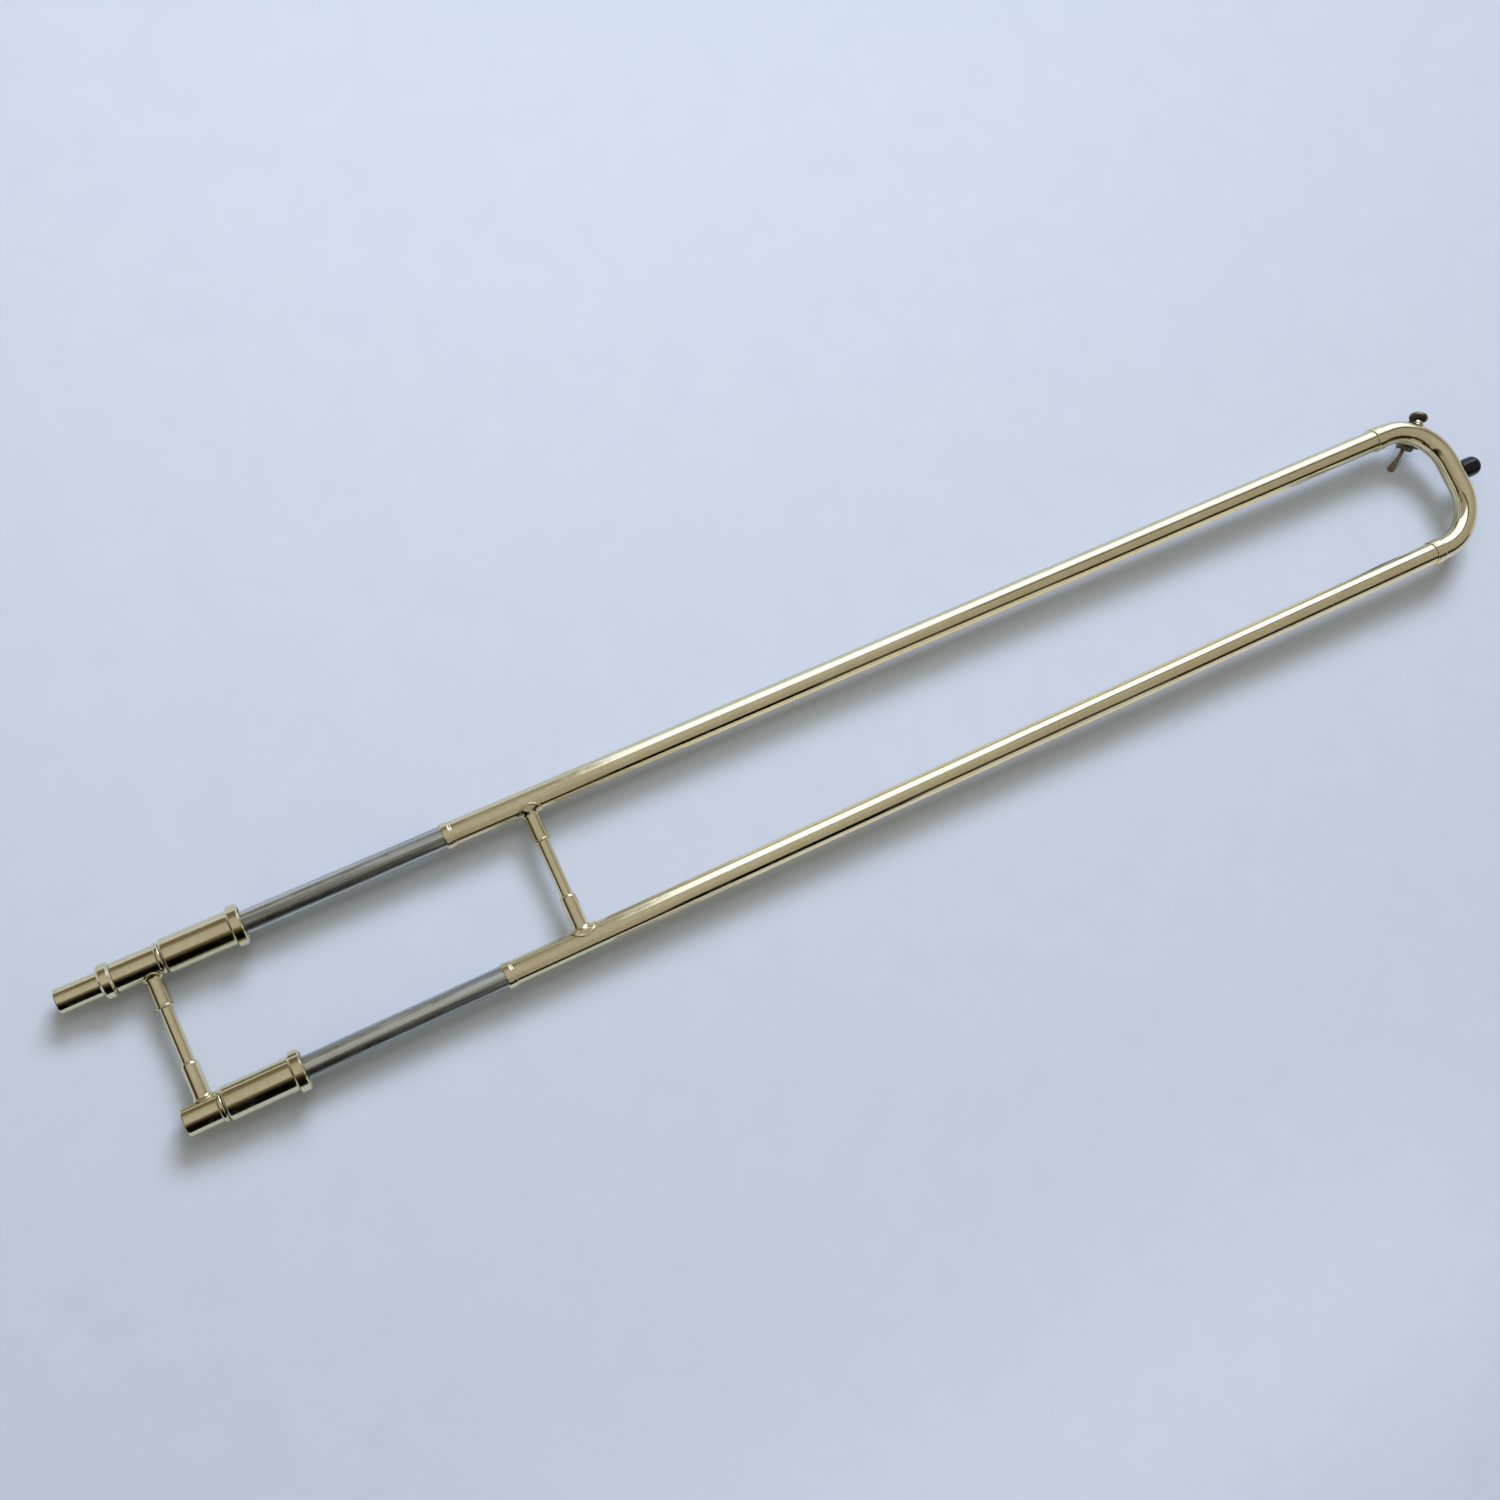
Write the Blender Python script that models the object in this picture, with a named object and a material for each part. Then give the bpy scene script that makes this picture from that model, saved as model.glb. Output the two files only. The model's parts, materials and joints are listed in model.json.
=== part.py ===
"""Trombone hand slide: an inner slide with its cork barrels, hand brace and
mouthpiece receiver, and an outer slide with its brace, crook, water key and
bumper.  Lengths below are in millimetres; the objects are built in metres.

The slide lies flat.  +X runs along the tubes towards the crook, +Y points to
the mouthpiece side, +Z points up.  The origin is below the middle of the
object, on the level of its lowest point.
"""
import math

import bmesh
import bpy
from mathutils import Matrix, Vector

MM = 0.001

# ---------------------------------------------------------------- dimensions
# Lengths along the slide are measured from the front face of the cork
# barrels; heights from the plane of the two tube axes.
SPACING = 81.0                # distance between the two tube axes
SIDES = 24                    # facets of every tube and ring on a tube axis

# inner slide tubes
INNER_R_IN, INNER_R_OUT = 6.15, 6.40
INNER_END = 605.0
STOCKING_LEN = 115.0
STOCKING_R_IN, STOCKING_R_OUT = 6.43, 6.55
UPPER_INNER_START = -70.2
LOWER_INNER_START = -46.7

# mouthpiece receiver, collar and leadpipe
RECEIVER_START, RECEIVER_END = -95.4, -70.5
RECEIVER_R_OUT_MOUTH, RECEIVER_R_OUT_ROOT = 6.75, 6.60
RECEIVER_R_IN_MOUTH, RECEIVER_R_IN_ROOT = 6.05, 5.55
COLLAR_START, COLLAR_END = -73.6, -67.1
COLLAR_R_IN, COLLAR_R_OUT = 6.68, 9.50
COLLAR_CHAMFER = 1.3
LEADPIPE_START, LEADPIPE_LEN = -69.9, 205.0
LEADPIPE_R_OUT, LEADPIPE_VENTURI_R = 6.07, 4.35

# neck sleeves
UPPER_NECK_START, LOWER_NECK_START = -66.8, -62.2
NECK_END = -41.9
NECK_R_OUT = 8.0
NECK_BEAD_R, NECK_BEAD_LEN = 8.70, 3.0
NECK_R_IN = 6.45
BELL_SOCKET_R_MOUTH, BELL_SOCKET_R_ROOT = 7.00, 6.70
BELL_SOCKET_END = -47.0

# cork barrels
BARREL_START, BARREL_END = -41.3, -0.4
BARREL_R_IN, BARREL_R_OUT = 8.65, 9.45
BARREL_WALL = 0.9
BARREL_RING_START, BARREL_RING_END = -7.3, 0.0
BARREL_RING_R_IN, BARREL_RING_R_OUT = 9.50, 11.30
CORK_START, CORK_END = -40.1, -27.8
CORK_R_IN, CORK_R_OUT = 6.70, 8.45

# outer slide, shown drawn out by SLIDE_OUT from the barrel faces
SLIDE_OUT = 109.5
OUTER_R_IN, OUTER_R_OUT = 6.65, 6.90
OUTER_END = 745.5
END_RING_LEN, END_RING_R_IN, END_RING_R_OUT = 5.4, 6.95, 7.50
SEAM = 750.0                  # edge of the crook ferrules
FERRULE_START = 743.4
FERRULE_R_IN, FERRULE_R_OUT = 6.95, 7.70

# crook
CROOK_STUB = 4.0
CROOK_BEND_R = 33.0
CROOK_R_OUT, CROOK_R_IN = 7.15, 6.65
CROOK_ARC_STEPS = 9

# braces
HAND_BRACE_X, SLIDE_BRACE_X = -50.0, 157.0
ROD_R = 3.45
SOCKET_R_IN = 3.50
SOCKET_R_OUT = 4.50
UPPER_SOCKET_LEN, LOWER_SOCKET_LEN = 16.0, 19.0
ROD_DEPTH = 9.0               # how far the rod goes into a socket
SOCKET_SIDES = 20
# a saddle foot's length, its half width round the tube and its rim
HAND_FOOT = (10.8, 6.2, 1.0)
SLIDE_FOOT = (16.4, 9.2, 0.8)
FOOT_GAP = 0.22

# bumper
STUD_R, STUD_TOP = 2.6, 6.4   # brass stud inside the rubber
BUMPER_BORE_R, BUMPER_BORE_TOP = 2.9, 7.2
BUMPER_R = 6.35
BUMPER_TIP = 12.7             # beyond the crook's outer surface

# water key, on the mouthpiece-side corner of the crook
KEY_BEND_ANGLE = math.radians(39.0)
PIVOT_U, PIVOT_W = -4.0, -10.5
PIVOT_R = 0.85
HINGE_R_IN, HINGE_R_OUT, HINGE_HALF = 0.98, 1.95, 3.5
EAR_IN, EAR_THICK, EAR_R = 3.9, 0.9, 2.55
FOOT_HALF_ARC = math.radians(15.0)
NIPPLE_R_OUT, NIPPLE_R_IN, NIPPLE_TOP = 3.1, 1.7, 9.6
KEY_CORK_R, KEY_CORK_START, KEY_CORK_END = 4.7, 9.9, 12.1
CUP_R, CUP_BACK = 5.8, 14.6
KEY_CUP_W = 1.2               # height of the cup's axis
TOUCH_U, TOUCH_V, TOUCH_W = -19.2, -3.4, -17.4
TOUCH_DROP, TOUCH_HALF_THICK, TOUCH_SLOPE = 0.15, 0.45, 35.0
# the tip of the touch is the lowest point of the whole object
KEY_LOWEST = (TOUCH_W - TOUCH_DROP
              - TOUCH_HALF_THICK * math.cos(math.radians(TOUCH_SLOPE)))

# ------------------------------------------------------------ derived frame
HALF = SPACING / 2
CROOK_STRAIGHT = SPACING - 2 * CROOK_BEND_R
CROOK_APEX = SEAM + CROOK_STUB + CROOK_BEND_R
X_MAX = CROOK_APEX + CROOK_R_OUT + BUMPER_TIP
X_MIN = RECEIVER_START
ORIGIN = Vector(((X_MIN + X_MAX) / 2, 0.0, KEY_LOWEST))


def place(x, y, z):
    """Millimetres from the barrel faces and the tube plane, to metres."""
    return (Vector((x, y, z)) - ORIGIN) * MM


# ----------------------------------------------------------------- materials
def material(name, colour, roughness, metallic):
    mat = bpy.data.materials.new(name)
    mat.use_nodes = True
    bsdf = mat.node_tree.nodes["Principled BSDF"]
    bsdf.inputs["Base Color"].default_value = (*colour, 1.0)
    bsdf.inputs["Roughness"].default_value = roughness
    bsdf.inputs["Metallic"].default_value = metallic
    mat.diffuse_color = (*colour, 1.0)
    return mat


BRASS = ((0.78, 0.66, 0.38), 0.16, 1.0)
CHROME = ((0.78, 0.79, 0.80), 0.10, 1.0)
NICKEL = ((0.42, 0.41, 0.38), 0.28, 1.0)
RUBBER = ((0.015, 0.015, 0.022), 0.42, 0.0)
CORK = ((0.50, 0.34, 0.20), 0.85, 0.0)
DARK_CORK = ((0.09, 0.07, 0.05), 0.80, 0.0)
STEEL = ((0.50, 0.50, 0.50), 0.25, 1.0)


def finish_object(name, bm, look, origin, smooth_angle=35.0):
    """Turn a bmesh given in metres around `origin` into a named object."""
    bmesh.ops.recalc_face_normals(bm, faces=bm.faces[:])
    mesh = bpy.data.meshes.new(name)
    bm.to_mesh(mesh)
    bm.free()
    mesh.materials.append(material(name + "_finish", *look))
    mesh.shade_smooth()
    mesh.set_sharp_from_angle(angle=math.radians(smooth_angle))
    obj = bpy.data.objects.new(name, mesh)
    bpy.context.collection.objects.link(obj)
    obj.location = origin
    return obj


# -------------------------------------------------------------- shape makers
def turned(name, profile, centre, axis, look, sides=SIDES, closed=True,
           smooth_angle=35.0, phase=0.0):
    """Spin a profile of (along, radius) points, in mm, about an axis."""
    axis = Vector(axis).normalized()
    side = Vector((0, 0, 1))
    if abs(axis.dot(side)) > 0.9:
        side = Vector((0, 1, 0))
    side = (side - axis * side.dot(axis)).normalized()
    if phase:
        side = Matrix.Rotation(phase, 3, axis) @ side
    bm = bmesh.new()
    verts = [bm.verts.new((axis * a + side * r) * MM) for a, r in profile]
    pairs = list(zip(verts, verts[1:]))
    if closed:
        pairs.append((verts[-1], verts[0]))
    edges = [bm.edges.new(p) for p in pairs]
    bmesh.ops.spin(bm, geom=verts + edges, cent=(0, 0, 0), axis=axis,
                   dvec=(0, 0, 0), angle=2 * math.pi, steps=sides,
                   use_merge=True, use_duplicate=False)
    bmesh.ops.remove_doubles(bm, verts=bm.verts[:], dist=2e-6)
    return finish_object(name, bm, look, centre, smooth_angle)


def arc(cx, cy, r, start, end, steps):
    """Points of a circular arc in a profile, angles in degrees."""
    points = []
    for i in range(steps + 1):
        t = math.radians(start + (end - start) * i / steps)
        points.append((cx + r * math.cos(t), cy + r * math.sin(t)))
    return points


def lofted(name, rings, origin, look, ends="open", smooth_angle=35.0,
           loop=False):
    """Skin a list of rings of points (mm, relative to origin)."""
    bm = bmesh.new()
    made = [[bm.verts.new(p * MM) for p in ring] for ring in rings]
    count = len(made[0])
    pairs = list(zip(made, made[1:]))
    if loop:
        pairs.append((made[-1], made[0]))
    for a, b in pairs:
        for i in range(count):
            j = (i + 1) % count
            bm.faces.new((a[i], a[j], b[j], b[i]))
    if ends == "capped":
        bm.faces.new(made[0])
        bm.faces.new(list(reversed(made[-1])))
    return finish_object(name, bm, look, origin, smooth_angle)


def hidden_cutter(obj):
    obj.hide_render = True
    obj.display_type = "WIRE"
    return obj


def boolean(obj, other, operation):
    mod = obj.modifiers.new(operation.lower() + "_" + other.name, "BOOLEAN")
    mod.operation = operation
    mod.solver = "EXACT"
    mod.object = other
    hidden_cutter(other)


# ------------------------------------------------------------- the two sides
def build_tubes():
    for side, y in (("upper", HALF), ("lower", -HALF)):
        base = place(0, y, 0)
        start = UPPER_INNER_START if side == "upper" else LOWER_INNER_START
        turned(side + "_inner_tube",
               [(start, INNER_R_IN), (start, INNER_R_OUT),
                (INNER_END - 0.4, INNER_R_OUT), (INNER_END, INNER_R_OUT - 0.1),
                (INNER_END, INNER_R_IN)],
               base, (1, 0, 0), CHROME)
        s0, s1 = INNER_END - STOCKING_LEN, INNER_END - 0.6
        turned(side + "_stocking",
               [(s0, STOCKING_R_IN), (s0 + 1.5, STOCKING_R_OUT),
                (s1 - 0.5, STOCKING_R_OUT), (s1, STOCKING_R_IN + 0.04),
                (s1, STOCKING_R_IN)],
               base, (1, 0, 0), CHROME)

        # outer tube and the ring at its open end
        turned(side + "_outer_tube",
               [(SLIDE_OUT, OUTER_R_IN), (SLIDE_OUT, OUTER_R_OUT),
                (OUTER_END, OUTER_R_OUT), (OUTER_END, OUTER_R_IN)],
               base, (1, 0, 0), BRASS)
        r0 = SLIDE_OUT + 0.2
        r1 = r0 + END_RING_LEN
        turned(side + "_outer_end_ring",
               [(r0, END_RING_R_IN), (r0, END_RING_R_OUT - 0.15),
                (r0 + 0.4, END_RING_R_OUT), (r1 - 0.6, END_RING_R_OUT),
                (r1, END_RING_R_IN + 0.15), (r1, END_RING_R_IN)],
               base, (1, 0, 0), BRASS)

        # cork barrel: a tube closed at the back by a wall round the inner tube
        turned(side + "_cork_barrel",
               [(BARREL_START, NECK_R_IN), (BARREL_START, BARREL_R_OUT - 0.6),
                (BARREL_START + 0.6, BARREL_R_OUT), (BARREL_END, BARREL_R_OUT),
                (BARREL_END, BARREL_R_IN),
                (BARREL_START + BARREL_WALL, BARREL_R_IN),
                (BARREL_START + BARREL_WALL, NECK_R_IN)],
               base, (1, 0, 0), BRASS)
        # barrel end ring: a concave flare up to a band with a front chamfer
        b0, b1 = BARREL_RING_START, BARREL_RING_END
        flare = arc(b0 + 0.2, BARREL_RING_R_OUT, 1.7, -90, 0, 4)
        flare = [(x, max(r, BARREL_RING_R_IN + 0.1)) for x, r in flare]
        turned(side + "_barrel_ring",
               [(b0, BARREL_RING_R_IN)] + flare
               + [(b1 - 0.75, BARREL_RING_R_OUT),
                  (b1, BARREL_RING_R_OUT - 0.65), (b1, BARREL_RING_R_IN)],
               base, (1, 0, 0), BRASS)
        turned(side + "_barrel_cork",
               [(CORK_START, CORK_R_IN), (CORK_START, CORK_R_OUT),
                (CORK_END - 0.5, CORK_R_OUT), (CORK_END, CORK_R_OUT - 0.5),
                (CORK_END, CORK_R_IN)],
               base, (1, 0, 0), CORK)

        # crook ferrule, over the end of the outer tube and the crook's spigot
        turned(side + "_crook_ferrule",
               [(FERRULE_START, FERRULE_R_IN),
                (FERRULE_START, FERRULE_R_OUT - 0.3),
                (FERRULE_START + 0.35, FERRULE_R_OUT),
                (SEAM - 0.5, FERRULE_R_OUT), (SEAM, FERRULE_R_OUT - 0.3),
                (SEAM, FERRULE_R_IN)],
               base, (1, 0, 0), BRASS)

    # neck sleeves: the upper one joins receiver and barrel, the lower one
    # also holds the tapered socket for the bell section
    bead_start = NECK_END - NECK_BEAD_LEN
    flank = NECK_BEAD_R - NECK_R_OUT
    bead = [(bead_start, NECK_R_OUT), (bead_start + 0.35, NECK_R_OUT + 0.1),
            (bead_start + 0.75, NECK_R_OUT + 0.75 * flank),
            (bead_start + 1.2, NECK_BEAD_R), (NECK_END - 0.7, NECK_BEAD_R),
            (NECK_END - 0.25, NECK_R_OUT + 0.65 * flank),
            (NECK_END, NECK_R_OUT)]
    turned("upper_neck_sleeve",
           [(UPPER_NECK_START, NECK_R_IN), (UPPER_NECK_START, NECK_R_OUT)]
           + bead + [(NECK_END, NECK_R_IN)],
           place(0, HALF, 0), (1, 0, 0), BRASS)
    turned("lower_neck_sleeve",
           [(LOWER_NECK_START, BELL_SOCKET_R_MOUTH),
            (LOWER_NECK_START, NECK_R_OUT - 0.15),
            (LOWER_NECK_START + 0.3, NECK_R_OUT)]
           + bead
           + [(NECK_END, NECK_R_IN), (BELL_SOCKET_END, NECK_R_IN),
              (BELL_SOCKET_END, BELL_SOCKET_R_ROOT)],
           place(0, -HALF, 0), (1, 0, 0), BRASS)

    # mouthpiece receiver with its tapered bore, and the collar behind it
    turned("mouthpiece_receiver",
           [(RECEIVER_START, RECEIVER_R_IN_MOUTH),
            (RECEIVER_START, RECEIVER_R_OUT_MOUTH - 0.12),
            (RECEIVER_START + 0.4, RECEIVER_R_OUT_MOUTH),
            (RECEIVER_END, RECEIVER_R_OUT_ROOT),
            (RECEIVER_END, RECEIVER_R_IN_ROOT)],
           place(0, HALF, 0), (1, 0, 0), BRASS)
    c = COLLAR_CHAMFER
    turned("receiver_collar",
           [(COLLAR_START, COLLAR_R_IN), (COLLAR_START, COLLAR_R_OUT - c),
            (COLLAR_START + c, COLLAR_R_OUT), (COLLAR_END - c, COLLAR_R_OUT),
            (COLLAR_END, COLLAR_R_OUT - c), (COLLAR_END, COLLAR_R_IN)],
           place(0, HALF, 0), (1, 0, 0), BRASS)
    # leadpipe: narrows to the venturi and opens again to the tube's bore
    stations = 8
    bore = []
    for i in range(stations + 1):
        t = i / stations
        if t < 0.2:
            r = LEADPIPE_VENTURI_R + (RECEIVER_R_IN_ROOT - 0.2
                                      - LEADPIPE_VENTURI_R) * (1 - t / 0.2)
        else:
            r = LEADPIPE_VENTURI_R + (LEADPIPE_R_OUT - 0.15
                                      - LEADPIPE_VENTURI_R) * (t - 0.2) / 0.8
        bore.append((LEADPIPE_START + LEADPIPE_LEN * t, r))
    turned("leadpipe",
           [(LEADPIPE_START, LEADPIPE_R_OUT),
            (LEADPIPE_START + LEADPIPE_LEN, LEADPIPE_R_OUT)]
           + list(reversed(bore)),
           place(0, HALF, 0), (1, 0, 0), BRASS)


# -------------------------------------------------------------------- braces
def brace_socket(name, x, y, inward, tube_r, length, foot_len, foot_half,
                 rim, stepped):
    """A brace socket that stands on a tube with an oval saddle foot.

    The foot wraps the tube; its rings are ovals laid on the tube's surface.
    `inward` is +1 or -1, the direction in Y from the tube to the brace rod.
    """
    gap_r = tube_r + FOOT_GAP
    rings = []

    def on_tube(half_x, half_s, lift):
        ring = []
        for i in range(SOCKET_SIDES):
            t = 2 * math.pi * i / SOCKET_SIDES
            angle = half_s * math.sin(t) / gap_r
            r = gap_r + lift
            ring.append(Vector((half_x * math.cos(t),
                                inward * r * math.cos(angle),
                                r * math.sin(angle))))
        rings.append(ring)

    def across(radius, out):
        ring = []
        for i in range(SOCKET_SIDES):
            t = 2 * math.pi * i / SOCKET_SIDES
            ring.append(Vector((radius * math.cos(t), inward * out,
                                radius * math.sin(t))))
        rings.append(ring)

    hx, hs = foot_len / 2, foot_half
    for i in range(4):
        f = i / 3
        on_tube(SOCKET_R_IN + (hx - SOCKET_R_IN) * f,
                SOCKET_R_IN + (hs - SOCKET_R_IN) * f, 0.0)
    on_tube(hx, hs, rim * 0.6)
    on_tube(hx - 0.4, hs - 0.4, rim)
    on_tube((hx * 2 + SOCKET_R_OUT) / 3, (hs * 2 + SOCKET_R_OUT) / 3,
            rim + 0.1)
    on_tube(SOCKET_R_OUT + 1.0, SOCKET_R_OUT + 1.0, rim + 0.25)
    on_tube(SOCKET_R_OUT + 0.35, SOCKET_R_OUT + 0.35, 1.7)
    on_tube(SOCKET_R_OUT, SOCKET_R_OUT, 2.6)
    top = gap_r + length
    if stepped:
        across(SOCKET_R_OUT, top - 1.4)
        across(SOCKET_R_OUT + 0.25, top - 1.0)
        across(SOCKET_R_OUT + 0.25, top - 0.3)
        across(SOCKET_R_OUT, top)
    else:
        across(SOCKET_R_OUT, top - 1.5)
        across(SOCKET_R_OUT - 0.35, top - 0.45)
        across(SOCKET_R_OUT - 0.8, top)
    across(SOCKET_R_IN, top)
    across(SOCKET_R_IN, gap_r + 2.2)
    return lofted(name, rings, place(x, y, 0), BRASS, loop=True)


def build_brace(prefix, x, tube_r, foot):
    foot_len, foot_half, rim = foot
    brace_socket(prefix + "_upper_socket", x, HALF, -1, tube_r,
                 UPPER_SOCKET_LEN, foot_len, foot_half, rim, True)
    brace_socket(prefix + "_lower_socket", x, -HALF, 1, tube_r,
                 LOWER_SOCKET_LEN, foot_len, foot_half, rim, False)
    top = HALF - (tube_r + FOOT_GAP + UPPER_SOCKET_LEN) + ROD_DEPTH
    bottom = -HALF + (tube_r + FOOT_GAP + LOWER_SOCKET_LEN) - ROD_DEPTH
    turned(prefix + "_rod",
           [(bottom, 0.0), (bottom, ROD_R - 0.3), (bottom + 0.3, ROD_R),
            (top - 0.3, ROD_R), (top, ROD_R - 0.3), (top, 0.0)],
           place(x, 0, 0), (0, 1, 0), BRASS, sides=SOCKET_SIDES, closed=False)


# --------------------------------------------------------------------- crook
def crook_stations():
    """Centreline points and outward normals of the U, upper side first."""
    stations = []
    y_c = HALF - CROOK_BEND_R
    x_c = SEAM + CROOK_STUB
    stations.append((OUTER_END + 0.3, HALF, 0.0, "spigot"))
    stations.append((SEAM + 0.3, HALF, 0.0, "spigot"))
    stations.append((SEAM + 0.3, HALF, 0.0, "tube"))
    for i in range(CROOK_ARC_STEPS + 1):
        a = math.radians(90.0 * i / CROOK_ARC_STEPS)
        stations.append((x_c + CROOK_BEND_R * math.sin(a),
                         y_c + CROOK_BEND_R * math.cos(a), a, "tube"))
    for i in range(CROOK_ARC_STEPS + 1):
        a = math.radians(90.0 + 90.0 * i / CROOK_ARC_STEPS)
        stations.append((x_c + CROOK_BEND_R * math.sin(a),
                         -y_c + CROOK_BEND_R * math.cos(a), a, "tube"))
    stations.append((SEAM + 0.3, -HALF, math.pi, "tube"))
    stations.append((SEAM + 0.3, -HALF, math.pi, "spigot"))
    stations.append((OUTER_END + 0.3, -HALF, math.pi, "spigot"))
    return stations


def section(x, y, a, radius, sides=SIDES):
    """A circle square to the centreline; `a` turns from +Y towards +X."""
    normal = Vector((math.sin(a), math.cos(a), 0))
    up = Vector((0, 0, 1))
    return [Vector((x, y, 0))
            + normal * (radius * math.cos(2 * math.pi * i / sides))
            + up * (radius * math.sin(2 * math.pi * i / sides))
            for i in range(sides)]


def build_crook():
    origin = place(0, 0, 0)
    stations = crook_stations()
    rings = []
    for x, y, a, kind in stations:
        r = OUTER_R_OUT if kind == "spigot" else CROOK_R_OUT
        rings.append(section(x, y, a, r))
    for x, y, a, kind in reversed(stations):
        if kind == "tube" and abs(x - (SEAM + 0.3)) < 1e-6:
            continue
        rings.append(section(x, y, a, CROOK_R_IN))
    crook = lofted("crook", rings, origin, BRASS, loop=True)
    # drain hole under the water key's nipple
    p, n, t = key_frame()
    hole = turned("drain_hole",
                  [(4.0, 0.0), (4.0, NIPPLE_R_IN), (9.0, NIPPLE_R_IN),
                   (9.0, 0.0)],
                  origin + p * MM + Vector((0, 0, KEY_CUP_W)) * MM, n, BRASS,
                  sides=16, closed=False)
    boolean(crook, hole, "DIFFERENCE")

    # bumper: a stud on the crook's apex, and a rubber tip over it whose
    # base follows the crook
    sides = 24

    def saddle(rings, radius, lift=FOOT_GAP):
        ring = []
        for i in range(sides):
            b = 2 * math.pi * i / sides
            y, z = radius * math.cos(b), radius * math.sin(b)
            reach = CROOK_R_OUT + lift
            ring.append(Vector((math.sqrt(reach * reach - z * z), y, z)))
        rings.append(ring)

    def disc(rings, radius, out):
        rings.append([Vector((CROOK_R_OUT + out,
                              radius * math.cos(2 * math.pi * i / sides),
                              radius * math.sin(2 * math.pi * i / sides)))
                      for i in range(sides)])

    stud = []
    saddle(stud, 1.0)
    saddle(stud, STUD_R)
    disc(stud, STUD_R, STUD_TOP)
    disc(stud, STUD_R - 0.4, STUD_TOP + 0.5)
    lofted("bumper_socket", stud, place(CROOK_APEX, 0, 0), BRASS,
           ends="capped")
    tip = []
    disc(tip, 1.0, BUMPER_BORE_TOP)
    disc(tip, BUMPER_BORE_R, BUMPER_BORE_TOP)
    saddle(tip, BUMPER_BORE_R, 0.3)
    saddle(tip, 4.5, 0.3)
    saddle(tip, BUMPER_R - 0.45, 0.3)
    disc(tip, BUMPER_R - 0.1, 1.0)
    disc(tip, BUMPER_R, 2.2)
    for x, r in arc(BUMPER_TIP - 5.2, BUMPER_R - 5.2, 5.2, 80, 0, 6):
        disc(tip, max(r, 1.1), x)
    lofted("bumper_tip", tip, place(CROOK_APEX, 0, 0), RUBBER,
           ends="capped", smooth_angle=50)


# ----------------------------------------------------------------- water key
def key_frame():
    """Centreline point at the key, outward normal and tangent (mm)."""
    a = KEY_BEND_ANGLE
    x = SEAM + CROOK_STUB + CROOK_BEND_R * math.sin(a)
    y = HALF - CROOK_BEND_R + CROOK_BEND_R * math.cos(a)
    n = Vector((math.sin(a), math.cos(a), 0))
    t = Vector((math.cos(a), -math.sin(a), 0))
    return Vector((x, y, 0)), n, t


def key_point(u, v, w):
    """Key coordinates (outward, along, up) to a vector from the pivot."""
    _, n, t = key_frame()
    return n * (u - PIVOT_U) + t * v + Vector((0, 0, w - PIVOT_W))


def pivot_place():
    p, n, _ = key_frame()
    q = p + n * PIVOT_U
    return place(q.x, q.y, PIVOT_W)


def bar(name, stations, look, origin):
    """A flat bar swept in the key's plane.

    Each station is (u, v, w, direction in degrees, half width, half
    thickness);
    the corners are cut so the section has eight sides.
    """
    rings = []
    for u, v0, w, direction, hw, ht in stations:
        d = math.radians(direction)
        across = (-math.sin(d), math.cos(d))
        c = min(hw, ht) * 0.45
        outline = [(hw, -ht + c), (hw, ht - c), (hw - c, ht), (-hw + c, ht),
                   (-hw, ht - c), (-hw, -ht + c), (-hw + c, -ht),
                   (hw - c, -ht)]
        rings.append([key_point(u + across[0] * b, v0 + v, w + across[1] * b)
                      for v, b in outline])
    return lofted(name, rings, origin, look, ends="capped")


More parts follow.
